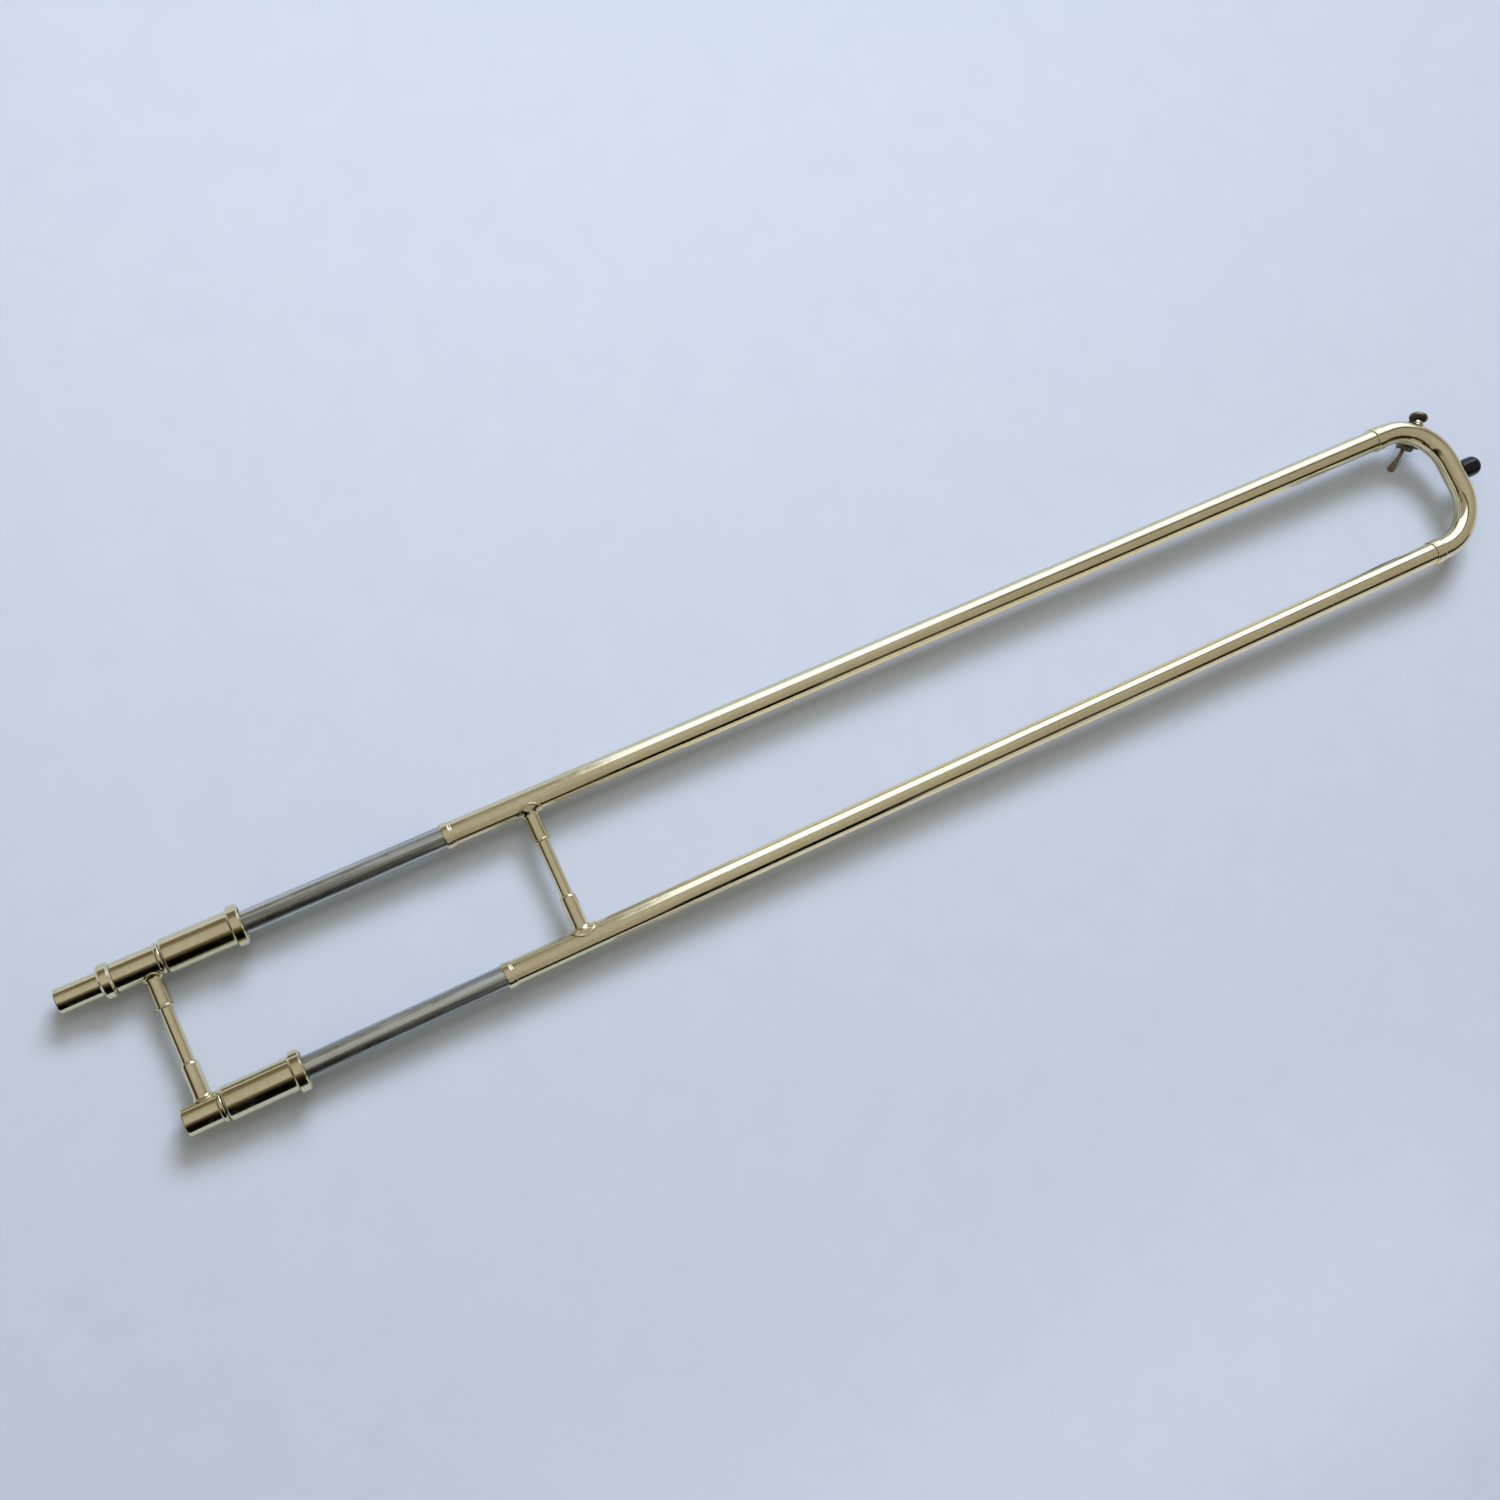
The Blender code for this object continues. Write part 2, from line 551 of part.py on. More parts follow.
def build_water_key():
    p, n, t = key_frame()
    origin = place(0, 0, 0)
    pivot = pivot_place()
    x_c, y_c = SEAM + CROOK_STUB, HALF - CROOK_BEND_R

    # nipple: a short chimney whose base follows the crook
    def crook_surface(v, w, r):
        major = CROOK_BEND_R + math.sqrt(r * r - w * w)
        return math.sqrt(major * major - v * v) - CROOK_BEND_R

    sides = 20
    rings = []

    def ring_on_crook(radius, r):
        ring = []
        for i in range(sides):
            b = 2 * math.pi * i / sides
            v, w = radius * math.cos(b), KEY_CUP_W + radius * math.sin(b)
            ring.append(n * crook_surface(v, w, r) + t * v
                        + Vector((0, 0, w)))
        rings.append(ring)

    def ring_across(radius, u):
        rings.append([n * u + t * (radius * math.cos(2 * math.pi * i / sides))
                      + Vector((0, 0, KEY_CUP_W + radius
                                * math.sin(2 * math.pi * i / sides)))
                      for i in range(sides)])

    ring_on_crook(NIPPLE_R_IN, CROOK_R_OUT + FOOT_GAP)
    ring_on_crook(NIPPLE_R_OUT + 0.8, CROOK_R_OUT + FOOT_GAP)
    ring_on_crook(NIPPLE_R_OUT + 0.8, CROOK_R_OUT + FOOT_GAP + 0.4)
    ring_on_crook(NIPPLE_R_OUT + 0.1, CROOK_R_OUT + FOOT_GAP + 0.9)
    ring_across(NIPPLE_R_OUT - 0.2, NIPPLE_TOP)
    ring_across(NIPPLE_R_IN, NIPPLE_TOP)
    lofted("water_key_nipple", rings, origin + p * MM, BRASS, loop=True)

    # saddle: a curved foot under the crook with two ears for the screw
    centre_angle = math.atan2(PIVOT_W, PIVOT_U)
    spread = math.radians(30.0)
    r_in, r_out = CROOK_R_OUT + 0.28, CROOK_R_OUT + 1.1
    rings = []
    steps = 10
    for k in range(steps + 1):
        f = 2 * k / steps - 1
        a = KEY_BEND_ANGLE + FOOT_HALF_ARC * f
        taper = math.sqrt(max(0.0, 1 - (0.93 * f) ** 2))
        half = spread * (0.35 + 0.65 * taper)
        nk = Vector((math.sin(a), math.cos(a), 0))
        ck = Vector((x_c, y_c, 0)) + nk * CROOK_BEND_R
        inner, outer = [], []
        m = 8
        for i in range(m + 1):
            b = centre_angle + half * (2 * i / m - 1)
            for radius, row in ((r_in, inner), (r_out, outer)):
                row.append(ck + nk * (radius * math.cos(b))
                           + Vector((0, 0, radius * math.sin(b))))
        rings.append(inner + list(reversed(outer)))
    q = (pivot - origin) / MM
    rings = [[point - q for point in ring] for ring in rings]
    saddle = lofted("water_key_saddle", rings, pivot, NICKEL, ends="capped")

    away = Vector((PIVOT_U, PIVOT_W)).normalized()
    flank = Vector((-away.y, away.x))
    reach = math.hypot(PIVOT_U, PIVOT_W)
    for sign, label in ((1, "a"), (-1, "b")):
        outline = []
        for i in range(9):
            b = math.radians(90 - 22.5 * i)
            outline.append(away * (reach + EAR_R * math.cos(b))
                           + flank * (EAR_R * math.sin(b)))
        outline.append(away * (CROOK_R_OUT + 0.6) - flank * 3.1)
        outline.append(away * (CROOK_R_OUT + 0.6) + flank * 3.1)
        v0 = sign * EAR_IN
        v1 = sign * (EAR_IN + EAR_THICK)
        rings = [[key_point(o.x, v, o.y) for o in outline] for v in (v0, v1)]
        ear = lofted("ear_" + label, rings, pivot, NICKEL, ends="capped")
        boolean(saddle, ear, "UNION")
    bore = turned("ear_bore",
                  [(-8.0, 0.0), (-8.0, PIVOT_R + 0.1), (8.0, PIVOT_R + 0.1),
                   (8.0, 0.0)], pivot, t, NICKEL, sides=16, closed=False)
    boolean(saddle, bore, "DIFFERENCE")

    end = EAR_IN + EAR_THICK
    turned("water_key_pivot_screw",
           [(-end - 0.5, 0.0), (-end - 0.5, PIVOT_R), (end + 0.2, PIVOT_R),
            (end + 0.2, 1.75), (end + 0.9, 1.75), (end + 1.3, 1.3),
            (end + 1.3, 0.0)],
           pivot, t, STEEL, sides=16, closed=False)

    # lever: hinge tube, touch, and an arm under the crook up to the cup
    touch = [(TOUCH_U - 0.9, TOUCH_V, TOUCH_W - TOUCH_DROP, TOUCH_SLOPE,
              1.7, TOUCH_HALF_THICK),
             (TOUCH_U, TOUCH_V, TOUCH_W + 0.15, 28, 2.3, 0.60),
             (TOUCH_U + 2.4, TOUCH_V + 0.5, TOUCH_W + 1.35, 26, 2.4, 0.62),
             (TOUCH_U + 5.6, TOUCH_V + 1.3, TOUCH_W + 2.95, 26, 1.5, 0.75),
             (TOUCH_U + 10.4, TOUCH_V + 2.5, TOUCH_W + 5.2, 24, 1.25, 0.85),
             (PIVOT_U, 0.0, PIVOT_W, 15, 1.4, 1.0)]
    arm = [(-1.0, 0.0, -10.35, 2, 1.45, 0.95),
           (3.0, 0.0, -10.1, 5, 1.5, 0.9),
           (7.5, 0.0, -9.3, 18, 1.55, 0.85),
           (11.2, 0.0, -7.4, 38, 1.6, 0.8),
           (13.6, 0.0, -4.6, 62, 1.7, 0.75),
           (14.6, 0.0, -1.6, 82, 2.0, 0.7),
           (14.9, 0.0, 1.2, 90, 2.0, 0.6)]
    lever = bar("water_key_lever", touch + arm, NICKEL, pivot)
    hinge = turned("hinge_tube",
                   [(-HINGE_HALF, 0.0), (-HINGE_HALF, HINGE_R_OUT),
                    (HINGE_HALF, HINGE_R_OUT), (HINGE_HALF, 0.0)],
                   pivot, t, NICKEL, sides=20, closed=False)
    boolean(lever, hinge, "UNION")
    cup_centre = pivot + key_point(0.0, 0.0, KEY_CUP_W) * MM
    cup = turned("key_cup",
                 [(KEY_CORK_START + 0.9, KEY_CORK_R + 0.15),
                  (KEY_CORK_START + 0.9, CUP_R - 0.1),
                  (KEY_CORK_START + 1.9, CUP_R), (CUP_BACK - 1.3, CUP_R - 0.5),
                  (CUP_BACK - 0.4, CUP_R - 1.9), (CUP_BACK, 1.9),
                  (CUP_BACK, 0.0), (KEY_CORK_END + 0.25, 0.0),
                  (KEY_CORK_END + 0.25, KEY_CORK_R + 0.15)],
                 cup_centre, n, NICKEL, sides=24)
    boolean(lever, cup, "UNION")
    hinge_bore = turned("hinge_bore",
                        [(-8.0, 0.0), (-8.0, HINGE_R_IN), (8.0, HINGE_R_IN),
                         (8.0, 0.0)], pivot, t, NICKEL, sides=16,
                        closed=False)
    boolean(lever, hinge_bore, "DIFFERENCE")
    turned("water_key_cork",
           [(KEY_CORK_START, 0.0), (KEY_CORK_START, KEY_CORK_R - 0.25),
            (KEY_CORK_START + 0.25, KEY_CORK_R), (KEY_CORK_END, KEY_CORK_R),
            (KEY_CORK_END, 0.0)],
           cup_centre, n, DARK_CORK, sides=24, closed=False)

    # spring: turns round the hinge tube, one leg up against the crook on
    # the inner side and one under the arm on the outer side
    wire, pitch = 0.28, 0.60
    coil_r = HINGE_R_OUT + 0.12 + wire
    first, last = math.radians(185.0), math.radians(281.8 + 720.0)
    turns = (last - first) / (2 * math.pi)
    total = int(turns * 14)
    v_start, v_arm = 2.0, 0.95
    v_end = v_start + pitch * turns

    def on_coil(b):
        return Vector((math.cos(b), math.sin(b))) * coil_r

    def tangent(b):
        return Vector((-math.sin(b), math.cos(b)))

    path = [(on_coil(first) - tangent(first) * s, v_start)
            for s in (6.5, 3.5, 1.2)]
    for i in range(total + 1):
        b = first + (last - first) * i / total
        path.append((on_coil(b), v_start + pitch * turns * i / total))
    for s in (1.3, 2.4, 3.8, 5.0):
        f = max(0.0, (s - 1.3) / 3.7)
        path.append((on_coil(last) + tangent(last) * s,
                     v_end + (v_arm - v_end) * f))
    points = [n * q2.x + Vector((0, 0, q2.y)) + t * v for q2, v in path]
    rings = []
    for i, point in enumerate(points):
        ahead = points[min(i + 1, len(points) - 1)]
        behind = points[max(i - 1, 0)]
        d = (ahead - behind).normalized()
        e1 = t - d * t.dot(d)
        e1.normalize()
        e2 = d.cross(e1)
        rings.append([point + e1 * (wire * math.cos(2 * math.pi * k / 6))
                      + e2 * (wire * math.sin(2 * math.pi * k / 6))
                      for k in range(6)])
    lofted("water_key_spring", rings, pivot, STEEL, ends="capped",
           smooth_angle=70)


def main():
    for obj in list(bpy.data.objects):
        bpy.data.objects.remove(obj, do_unlink=True)
    build_tubes()
    build_brace("hand_brace", HAND_BRACE_X, NECK_R_OUT, HAND_FOOT)
    build_brace("slide_brace", SLIDE_BRACE_X, OUTER_R_OUT, SLIDE_FOOT)
    build_crook()
    build_water_key()


main()
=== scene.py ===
"""Trombone hand slide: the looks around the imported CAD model.

Lengths in this file are millimetres in the slide's own layout: X = 0 at the
front faces of the cork barrels, Y = 0 midway between the two tubes and Z = 0
in the plane of their axes.  at() turns them into the frame's metres.
"""

import json
import math

import bmesh
import bpy
from mathutils import Matrix, Vector

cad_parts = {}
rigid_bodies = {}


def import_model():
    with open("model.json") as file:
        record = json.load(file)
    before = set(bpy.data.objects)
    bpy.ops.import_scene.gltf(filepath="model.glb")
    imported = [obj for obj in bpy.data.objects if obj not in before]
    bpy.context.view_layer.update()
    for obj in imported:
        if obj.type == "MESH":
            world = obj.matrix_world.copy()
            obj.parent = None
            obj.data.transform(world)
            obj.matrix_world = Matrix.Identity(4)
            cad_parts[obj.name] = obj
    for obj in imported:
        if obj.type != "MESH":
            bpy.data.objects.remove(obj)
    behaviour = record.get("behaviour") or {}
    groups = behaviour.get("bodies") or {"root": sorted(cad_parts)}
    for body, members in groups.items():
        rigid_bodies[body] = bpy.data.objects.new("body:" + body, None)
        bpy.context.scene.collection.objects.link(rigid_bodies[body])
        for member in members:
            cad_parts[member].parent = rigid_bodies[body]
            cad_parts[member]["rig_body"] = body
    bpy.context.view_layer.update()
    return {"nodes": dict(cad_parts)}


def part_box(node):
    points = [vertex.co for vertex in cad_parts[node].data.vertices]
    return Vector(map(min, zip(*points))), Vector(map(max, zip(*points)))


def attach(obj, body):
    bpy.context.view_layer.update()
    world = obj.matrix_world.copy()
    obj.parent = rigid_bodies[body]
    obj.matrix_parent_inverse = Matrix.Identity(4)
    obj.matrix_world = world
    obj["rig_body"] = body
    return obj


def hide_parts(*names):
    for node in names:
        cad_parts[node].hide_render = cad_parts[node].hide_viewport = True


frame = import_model()
NODES = frame["nodes"]
MM = 0.001

lo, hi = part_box("mouthpiece_receiver")
X0 = lo.x / MM + 95.4
lo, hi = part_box("upper_outer_tube")
Z0 = (lo.z + hi.z) / 2 / MM
HALF = (lo.y + hi.y) / 2 / MM
SIDES = 96


def at(x, y, z):
    return Vector((x + X0, y, z + Z0)) * MM


# ================================================================== materials
class Look:
    """A node material under construction, in the piece's own coordinates."""

    def __init__(self, name):
        self.mat = bpy.data.materials.new(name)
        self.mat.use_nodes = True
        self.tree = self.mat.node_tree
        self.bsdf = self.tree.nodes["Principled BSDF"]
        self.coord = self.node("ShaderNodeTexCoord").outputs["Object"]

    def node(self, kind, **settings):
        made = self.tree.nodes.new(kind)
        for key, value in settings.items():
            setattr(made, key, value)
        return made

    def put(self, value, socket):
        if isinstance(value, bpy.types.NodeSocket):
            self.tree.links.new(value, socket)
        elif hasattr(value, "__len__") and len(value) == 3 \
                and socket.type == "RGBA":
            socket.default_value = (*value, 1.0)
        else:
            socket.default_value = value

    def space(self, scale=(1, 1, 1), shift=(0, 0, 0), turn=(0, 0, 0)):
        made = self.node("ShaderNodeMapping")
        self.put(self.coord, made.inputs["Vector"])
        made.inputs["Scale"].default_value = scale
        made.inputs["Location"].default_value = shift
        made.inputs["Rotation"].default_value = turn
        return made.outputs[0]

    def noise(self, vector, scale, detail=4.0, rough=0.55, warp=0.0):
        made = self.node("ShaderNodeTexNoise")
        self.put(vector, made.inputs["Vector"])
        made.inputs["Scale"].default_value = scale
        made.inputs["Detail"].default_value = detail
        made.inputs["Roughness"].default_value = rough
        made.inputs["Distortion"].default_value = warp
        return made.outputs["Fac"]

    def cells(self, vector, scale, feature="F1"):
        made = self.node("ShaderNodeTexVoronoi", feature=feature)
        self.put(vector, made.inputs["Vector"])
        made.inputs["Scale"].default_value = scale
        return made.outputs["Distance"]

    def ramp(self, fac, *stops):
        made = self.node("ShaderNodeValToRGB")
        self.put(fac, made.inputs["Fac"])
        bar = made.color_ramp
        while len(bar.elements) < len(stops):
            bar.elements.new(0.5)
        for element, (pos, value) in zip(bar.elements, stops):
            element.position = pos
            if not hasattr(value, "__len__"):
                value = (value, value, value)
            element.color = (*value, 1.0)
        return made.outputs["Color"]

    def calc(self, op, a, b=0.0, clamp=False):
        made = self.node("ShaderNodeMath", operation=op, use_clamp=clamp)
        self.put(a, made.inputs[0])
        self.put(b, made.inputs[1])
        return made.outputs[0]

    def mix(self, fac, a, b, blend="MIX"):
        made = self.node("ShaderNodeMix", data_type="RGBA", blend_type=blend)
        self.put(fac, made.inputs[0])
        self.put(a, made.inputs[6])
        self.put(b, made.inputs[7])
        return made.outputs[2]

    def bump(self, height, distance, strength=1.0, normal=None):
        made = self.node("ShaderNodeBump")
        self.put(height, made.inputs["Height"])
        made.inputs["Distance"].default_value = distance
        made.inputs["Strength"].default_value = strength
        if normal is not None:
            self.put(normal, made.inputs["Normal"])
        return made.outputs[0]

    def edges(self, low=0.50, high=0.56):
        """1 on worn outer edges, 0 elsewhere, from the mesh's own shape."""
        point = self.node("ShaderNodeNewGeometry").outputs["Pointiness"]
        return self.ramp(point, (low, 0.0), (high, 1.0))

    def set(self, **inputs):
        for key, value in inputs.items():
            self.put(value, self.bsdf.inputs[key.replace("_", " ")])
        return self.mat


def brass(name, seed, drawn=True, dull=0.0):
    """Yellow brass under clear lacquer: drawn lines, smears, tiny pits."""
    k = Look(name)
    s = seed * 3.17
    here = k.space(shift=(s, s * 0.3, 0))
    cloud = k.noise(here, 38, 4)
    mottle = k.noise(here, 330, 5, 0.6)
    fine = k.noise(here, 1900, 3, 0.6)
    lines = k.noise(k.space((26, 2300, 2300), (s, 0, 0)), 1.0, 3, 0.6)
    smear = k.ramp(k.noise(k.space((0.7, 1, 1), (s, 2, 5)), 105, 5, 0.62,
                           0.8), (0.50, 0.0), (0.66, 1.0))
    pits = k.ramp(k.cells(k.space(shift=(s, 1, 2)), 520), (0.05, 1.0),
                  (0.11, 0.0))
    some = k.ramp(k.noise(here, 75, 3), (0.52, 0.0), (0.62, 1.0))
    pits = k.calc("MULTIPLY", pits, some)
    scratch = k.ramp(k.noise(k.space((55, 55, 1250), (s, 3, 1),
                                     (0.5, 0.3, 0.35)), 1.0, 2),
                     (0.492, 0.0), (0.5, 1.0), (0.508, 0.0))
    colour = k.mix(k.ramp(cloud, (0.35, 0.0), (0.68, 1.0)),
                   (0.785, 0.735, 0.505), (0.725, 0.665, 0.43))
    colour = k.mix(k.calc("MULTIPLY", k.ramp(mottle, (0.42, 0.0),
                                             (0.72, 1.0)), 0.30),
                   colour, (0.64, 0.54, 0.32))
    colour = k.mix(k.calc("MULTIPLY", pits, 0.55), colour, (0.26, 0.19, 0.09))
    colour = k.mix(k.calc("MULTIPLY", k.edges(), 0.15), colour,
                   (0.88, 0.82, 0.60))
    rough = k.calc("ADD", 0.075 + dull, k.calc("MULTIPLY", mottle, 0.07))
    rough = k.calc("ADD", rough, k.calc("MULTIPLY", smear, 0.085))
    rough = k.calc("ADD", rough, k.calc("MULTIPLY", scratch, 0.10))
    normal = k.bump(k.noise(here, 30, 2), 4.0e-5)
    if drawn:
        normal = k.bump(lines, 1.3e-6, 1.0, normal)
    normal = k.bump(fine, 1.2e-6, 1.0, normal)
    normal = k.bump(k.calc("MULTIPLY", scratch, -1.0), 2.5e-6, 1.0, normal)
    normal = k.bump(pits, -6.0e-6, 1.0, normal)
    return k.set(Base_Color=colour, Metallic=1.0, Roughness=rough,
                 Normal=normal, Coat_Weight=0.35, Coat_Roughness=0.05,
                 Coat_IOR=1.48)


def chrome(name, seed):
    """Hard chrome on the inner slide: long faint streaks and grease."""
    k = Look(name)
    s = seed * 2.31
    here = k.space(shift=(s, 0, 0))
    streak = k.noise(k.space((5, 400, 400), (s, 0, 0)), 1.0, 5, 0.66)
    lines = k.noise(k.space((20, 2600, 2600), (s, 4, 0)), 1.0, 3, 0.6)
    film = k.noise(here, 70, 5, 0.6, 0.5)
    flecks = k.ramp(k.cells(k.space((0.35, 1, 1), (s, 7, 0)), 420),
                    (0.04, 1.0), (0.10, 0.0))
    some = k.ramp(k.noise(here, 55, 3), (0.50, 0.0), (0.60, 1.0))
    flecks = k.calc("MULTIPLY", flecks, some)
    worn = k.ramp(k.noise(k.space((0.35, 1, 1), (s, 1, 9)), 60, 4, 0.6),
                  (0.56, 0.0), (0.72, 1.0))
    colour = k.mix(k.ramp(streak, (0.40, 0.0), (0.60, 1.0)),
                   (0.195, 0.215, 0.20), (0.60, 0.645, 0.61))
    colour = k.mix(k.calc("MULTIPLY", worn, 0.45), colour,
                   (0.38, 0.385, 0.34))
    colour = k.mix(k.calc("MULTIPLY", flecks, 0.6), colour,
                   (0.78, 0.78, 0.77))
    rough = k.calc("ADD", 0.25, k.calc("MULTIPLY", k.ramp(
        film, (0.40, 0.0), (0.70, 1.0)), 0.14))
    rough = k.calc("ADD", rough, k.calc("MULTIPLY", k.ramp(
        streak, (0.40, 1.0), (0.60, 0.0)), 0.10))
    rough = k.calc("ADD", rough, k.calc("MULTIPLY", flecks, 0.2))
    normal = k.bump(k.noise(here, 26, 2), 3.0e-5)
    normal = k.bump(lines, 4.5e-6, 1.0, normal)
    normal = k.bump(k.noise(here, 1500, 3), 1.3e-6, 1.0, normal)
    return k.set(Base_Color=colour, Metallic=1.0, Roughness=rough,
                 Normal=normal, Coat_Weight=0.9, Coat_Roughness=0.06,
                 Coat_IOR=1.9, Coat_Normal=k.bump(lines, 2.0e-6))


def nickel(name, seed):
    """Tarnished nickel plate of the water key."""
    k = Look(name)
    s = seed * 1.7
    here = k.space(shift=(s, 0, 0))
    tarnish = k.noise(here, 260, 5, 0.62, 0.4)
    grain = k.noise(here, 2400, 3, 0.6)
    spots = k.ramp(k.cells(here, 900), (0.06, 1.0), (0.16, 0.0))
    colour = k.mix(k.ramp(tarnish, (0.34, 0.0), (0.66, 1.0)),
                   (0.085, 0.072, 0.048), (0.24, 0.21, 0.155))
    colour = k.mix(k.calc("MULTIPLY", spots, 0.5), colour,
                   (0.09, 0.08, 0.06))
    colour = k.mix(k.calc("MULTIPLY", k.edges(0.56, 0.66), 0.25), colour,
                   (0.50, 0.46, 0.37))
    rough = k.calc("ADD", 0.16, k.calc("MULTIPLY", tarnish, 0.22))
    normal = k.bump(grain, 3.0e-6)
    normal = k.bump(tarnish, 2.0e-5, 1.0, normal)
    return k.set(Base_Color=colour, Metallic=1.0, Roughness=rough,
                 Normal=normal)


def steel(name, seed):
    k = Look(name)
    here = k.space(shift=(seed * 1.3, 0, 0))
    film = k.noise(here, 900, 4, 0.6)
    lines = k.noise(k.space((300, 300, 5200), (seed, 0, 0)), 1.0, 2)
    colour = k.mix(k.ramp(film, (0.35, 0.0), (0.7, 1.0)),
                   (0.30, 0.295, 0.28), (0.56, 0.555, 0.54))
    rough = k.calc("ADD", 0.18, k.calc("MULTIPLY", film, 0.2))
    normal = k.bump(lines, 2.0e-6)
    return k.set(Base_Color=colour, Metallic=1.0, Roughness=rough,
                 Normal=normal)


def rubber(name):
    """Moulded black rubber, a little shiny, scuffed and dusty."""
    k = Look(name)
    here = k.space()
    scuff = k.ramp(k.noise(here, 420, 5, 0.65, 0.6), (0.52, 0.0),
                   (0.70, 1.0))
    dust = k.ramp(k.cells(here, 1500), (0.05, 1.0), (0.14, 0.0))
    dust = k.calc("MULTIPLY", dust, k.ramp(k.noise(here, 300, 3),
                                           (0.5, 0.0), (0.62, 1.0)))
    colour = k.mix(k.ramp(k.noise(here, 160, 4), (0.35, 0.0), (0.7, 1.0)),
                   (0.0015, 0.002, 0.005), (0.004, 0.0048, 0.0095))
    colour = k.mix(k.calc("MULTIPLY", scuff, 0.16), colour,
                   (0.022, 0.023, 0.029))
    colour = k.mix(k.calc("MULTIPLY", dust, 0.14), colour, (0.14, 0.14, 0.15))
    rough = k.calc("ADD", 0.13, k.calc("MULTIPLY", scuff, 0.20))
    normal = k.bump(k.noise(here, 2600, 3, 0.6), 5.0e-6)
    normal = k.bump(scuff, 8.0e-6, 1.0, normal)
    return k.set(Base_Color=colour, Roughness=rough, Normal=normal,
                 Specular_IOR_Level=0.26)


def cork(name, light, dark, pit, seed):
    """Cork: grains of two tones, dark pits, a dry matt surface."""
    k = Look(name)
    here = k.space(shift=(seed, 0, 0))
    grain = k.cells(here, 1300)
    tone = k.noise(here, 700, 5, 0.65)
    pits = k.ramp(k.noise(k.space((1, 2.2, 1), (seed, 5, 2)), 850, 3, 0.5),
                  (0.60, 0.0), (0.68, 1.0))
    colour = k.mix(k.ramp(tone, (0.35, 0.0), (0.68, 1.0)), dark, light)
    colour = k.mix(k.calc("MULTIPLY", k.ramp(grain, (0.2, 0.0), (0.7, 1.0)),
                          0.4), colour, dark)
    colour = k.mix(pits, colour, pit)
    normal = k.bump(grain, 4.0e-5)
    normal = k.bump(pits, -1.0e-4, 1.0, normal)
    return k.set(Base_Color=colour, Roughness=0.82, Normal=normal)


# ==================================================================== meshes
def basis(origin, axis, up=(0, 0, 1)):
    """Local X along `axis`, local Y as near `up` as it can be."""
    e0 = Vector(axis).normalized()
    up = Vector(up)
    if abs(e0.dot(up)) > 0.9:
        up = Vector((0, 1, 0))
    e1 = (up - e0 * up.dot(e0)).normalized()
    e2 = e0.cross(e1)
    turn = Matrix((e0, e1, e2)).transposed().to_4x4()
    return Matrix.Translation(origin) @ turn


def piece(node, bm, matrix, mat, sharp=55.0):
    """One visible piece that stands for a CAD node and rides on its body."""
    bmesh.ops.recalc_face_normals(bm, faces=bm.faces[:])
    mesh = bpy.data.meshes.new("fine_" + node)
    bm.to_mesh(mesh)
    bm.free()
    mesh.materials.append(mat)
    mesh.shade_smooth()
    mesh.set_sharp_from_angle(angle=math.radians(sharp))
    obj = bpy.data.objects.new("fine_" + node, mesh)
    bpy.context.scene.collection.objects.link(obj)
    obj.matrix_world = matrix
    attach(obj, NODES[node]["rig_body"])
    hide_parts(node)
    return obj


def rounded(points, radius=0.12, steps=3, closed=True):
    """Round a profile's corners; a third number is a corner's own radius."""
    out = []
    count = len(points)
    for i, point in enumerate(points):
        here = Vector(point[:2])
        own = point[2] if len(point) > 2 else radius
        if (not closed and i in (0, count - 1)) or own <= 0:
            out.append(here)
            continue
        before = Vector(points[i - 1][:2]) - here
        after = Vector(points[(i + 1) % count][:2]) - here
        if before.length < 1e-6 or after.length < 1e-6:
            out.append(here)
            continue
        bend = math.pi - before.angle(after)
        if bend < math.radians(6):
            out.append(here)
            continue
        cut = min(own * math.tan(bend / 2), before.length * 0.45,
                  after.length * 0.45)
        a = here + before.normalized() * cut
        b = here + after.normalized() * cut
        n = max(2, min(steps + 3, int(steps * bend / 1.2) + 1))
        for j in range(n + 1):
            t = j / n
            out.append(a * (1 - t) ** 2 + here * (2 * t * (1 - t))
                       + b * t ** 2)
    return out


def supported(points, closed=True):
    """Add points near the ends of long runs, so that they shade straight."""
    out = []
    count = len(points)
    last = count if closed else count - 1
    for i in range(count):
        a = points[i]
        out.append(a)
        if i >= last:
            continue
        b = points[(i + 1) % count]
        run = b - a
        if run.length > 0.7:
            step = min(0.25, run.length * 0.25)
            d = run.normalized() * step
            out.append(a + d)
            if run.length > 90:
                n = int(run.length / 45)
                for j in range(1, n):
                    out.append(a + run * (j / n))
            out.append(b - d)
    return out


def lathe(points, sides=SIDES, closed=True, radius=0.12, steps=3):
    """Turn a profile of (along, radius) about local X."""
    profile = supported(rounded(points, radius, steps, closed), closed)
    bm = bmesh.new()
    rings = []
    for a, r in profile:
        if r < 1e-5:
            rings.append([bm.verts.new((a * MM, 0, 0))])
        else:
            rings.append([bm.verts.new((
                a * MM,
                r * MM * math.cos(2 * math.pi * i / sides),
                r * MM * math.sin(2 * math.pi * i / sides)))
                for i in range(sides)])
    pairs = list(zip(rings, rings[1:]))
    if closed:
        pairs.append((rings[-1], rings[0]))
    for a, b in pairs:
        for i in range(sides):
            j = (i + 1) % sides
            if len(a) == 1 and len(b) == 1:
                break
            if len(a) == 1:
                bm.faces.new((a[0], b[j], b[i]))
            elif len(b) == 1:
                bm.faces.new((a[i], a[j], b[0]))
            else:
                bm.faces.new((a[i], a[j], b[j], b[i]))
    return bm


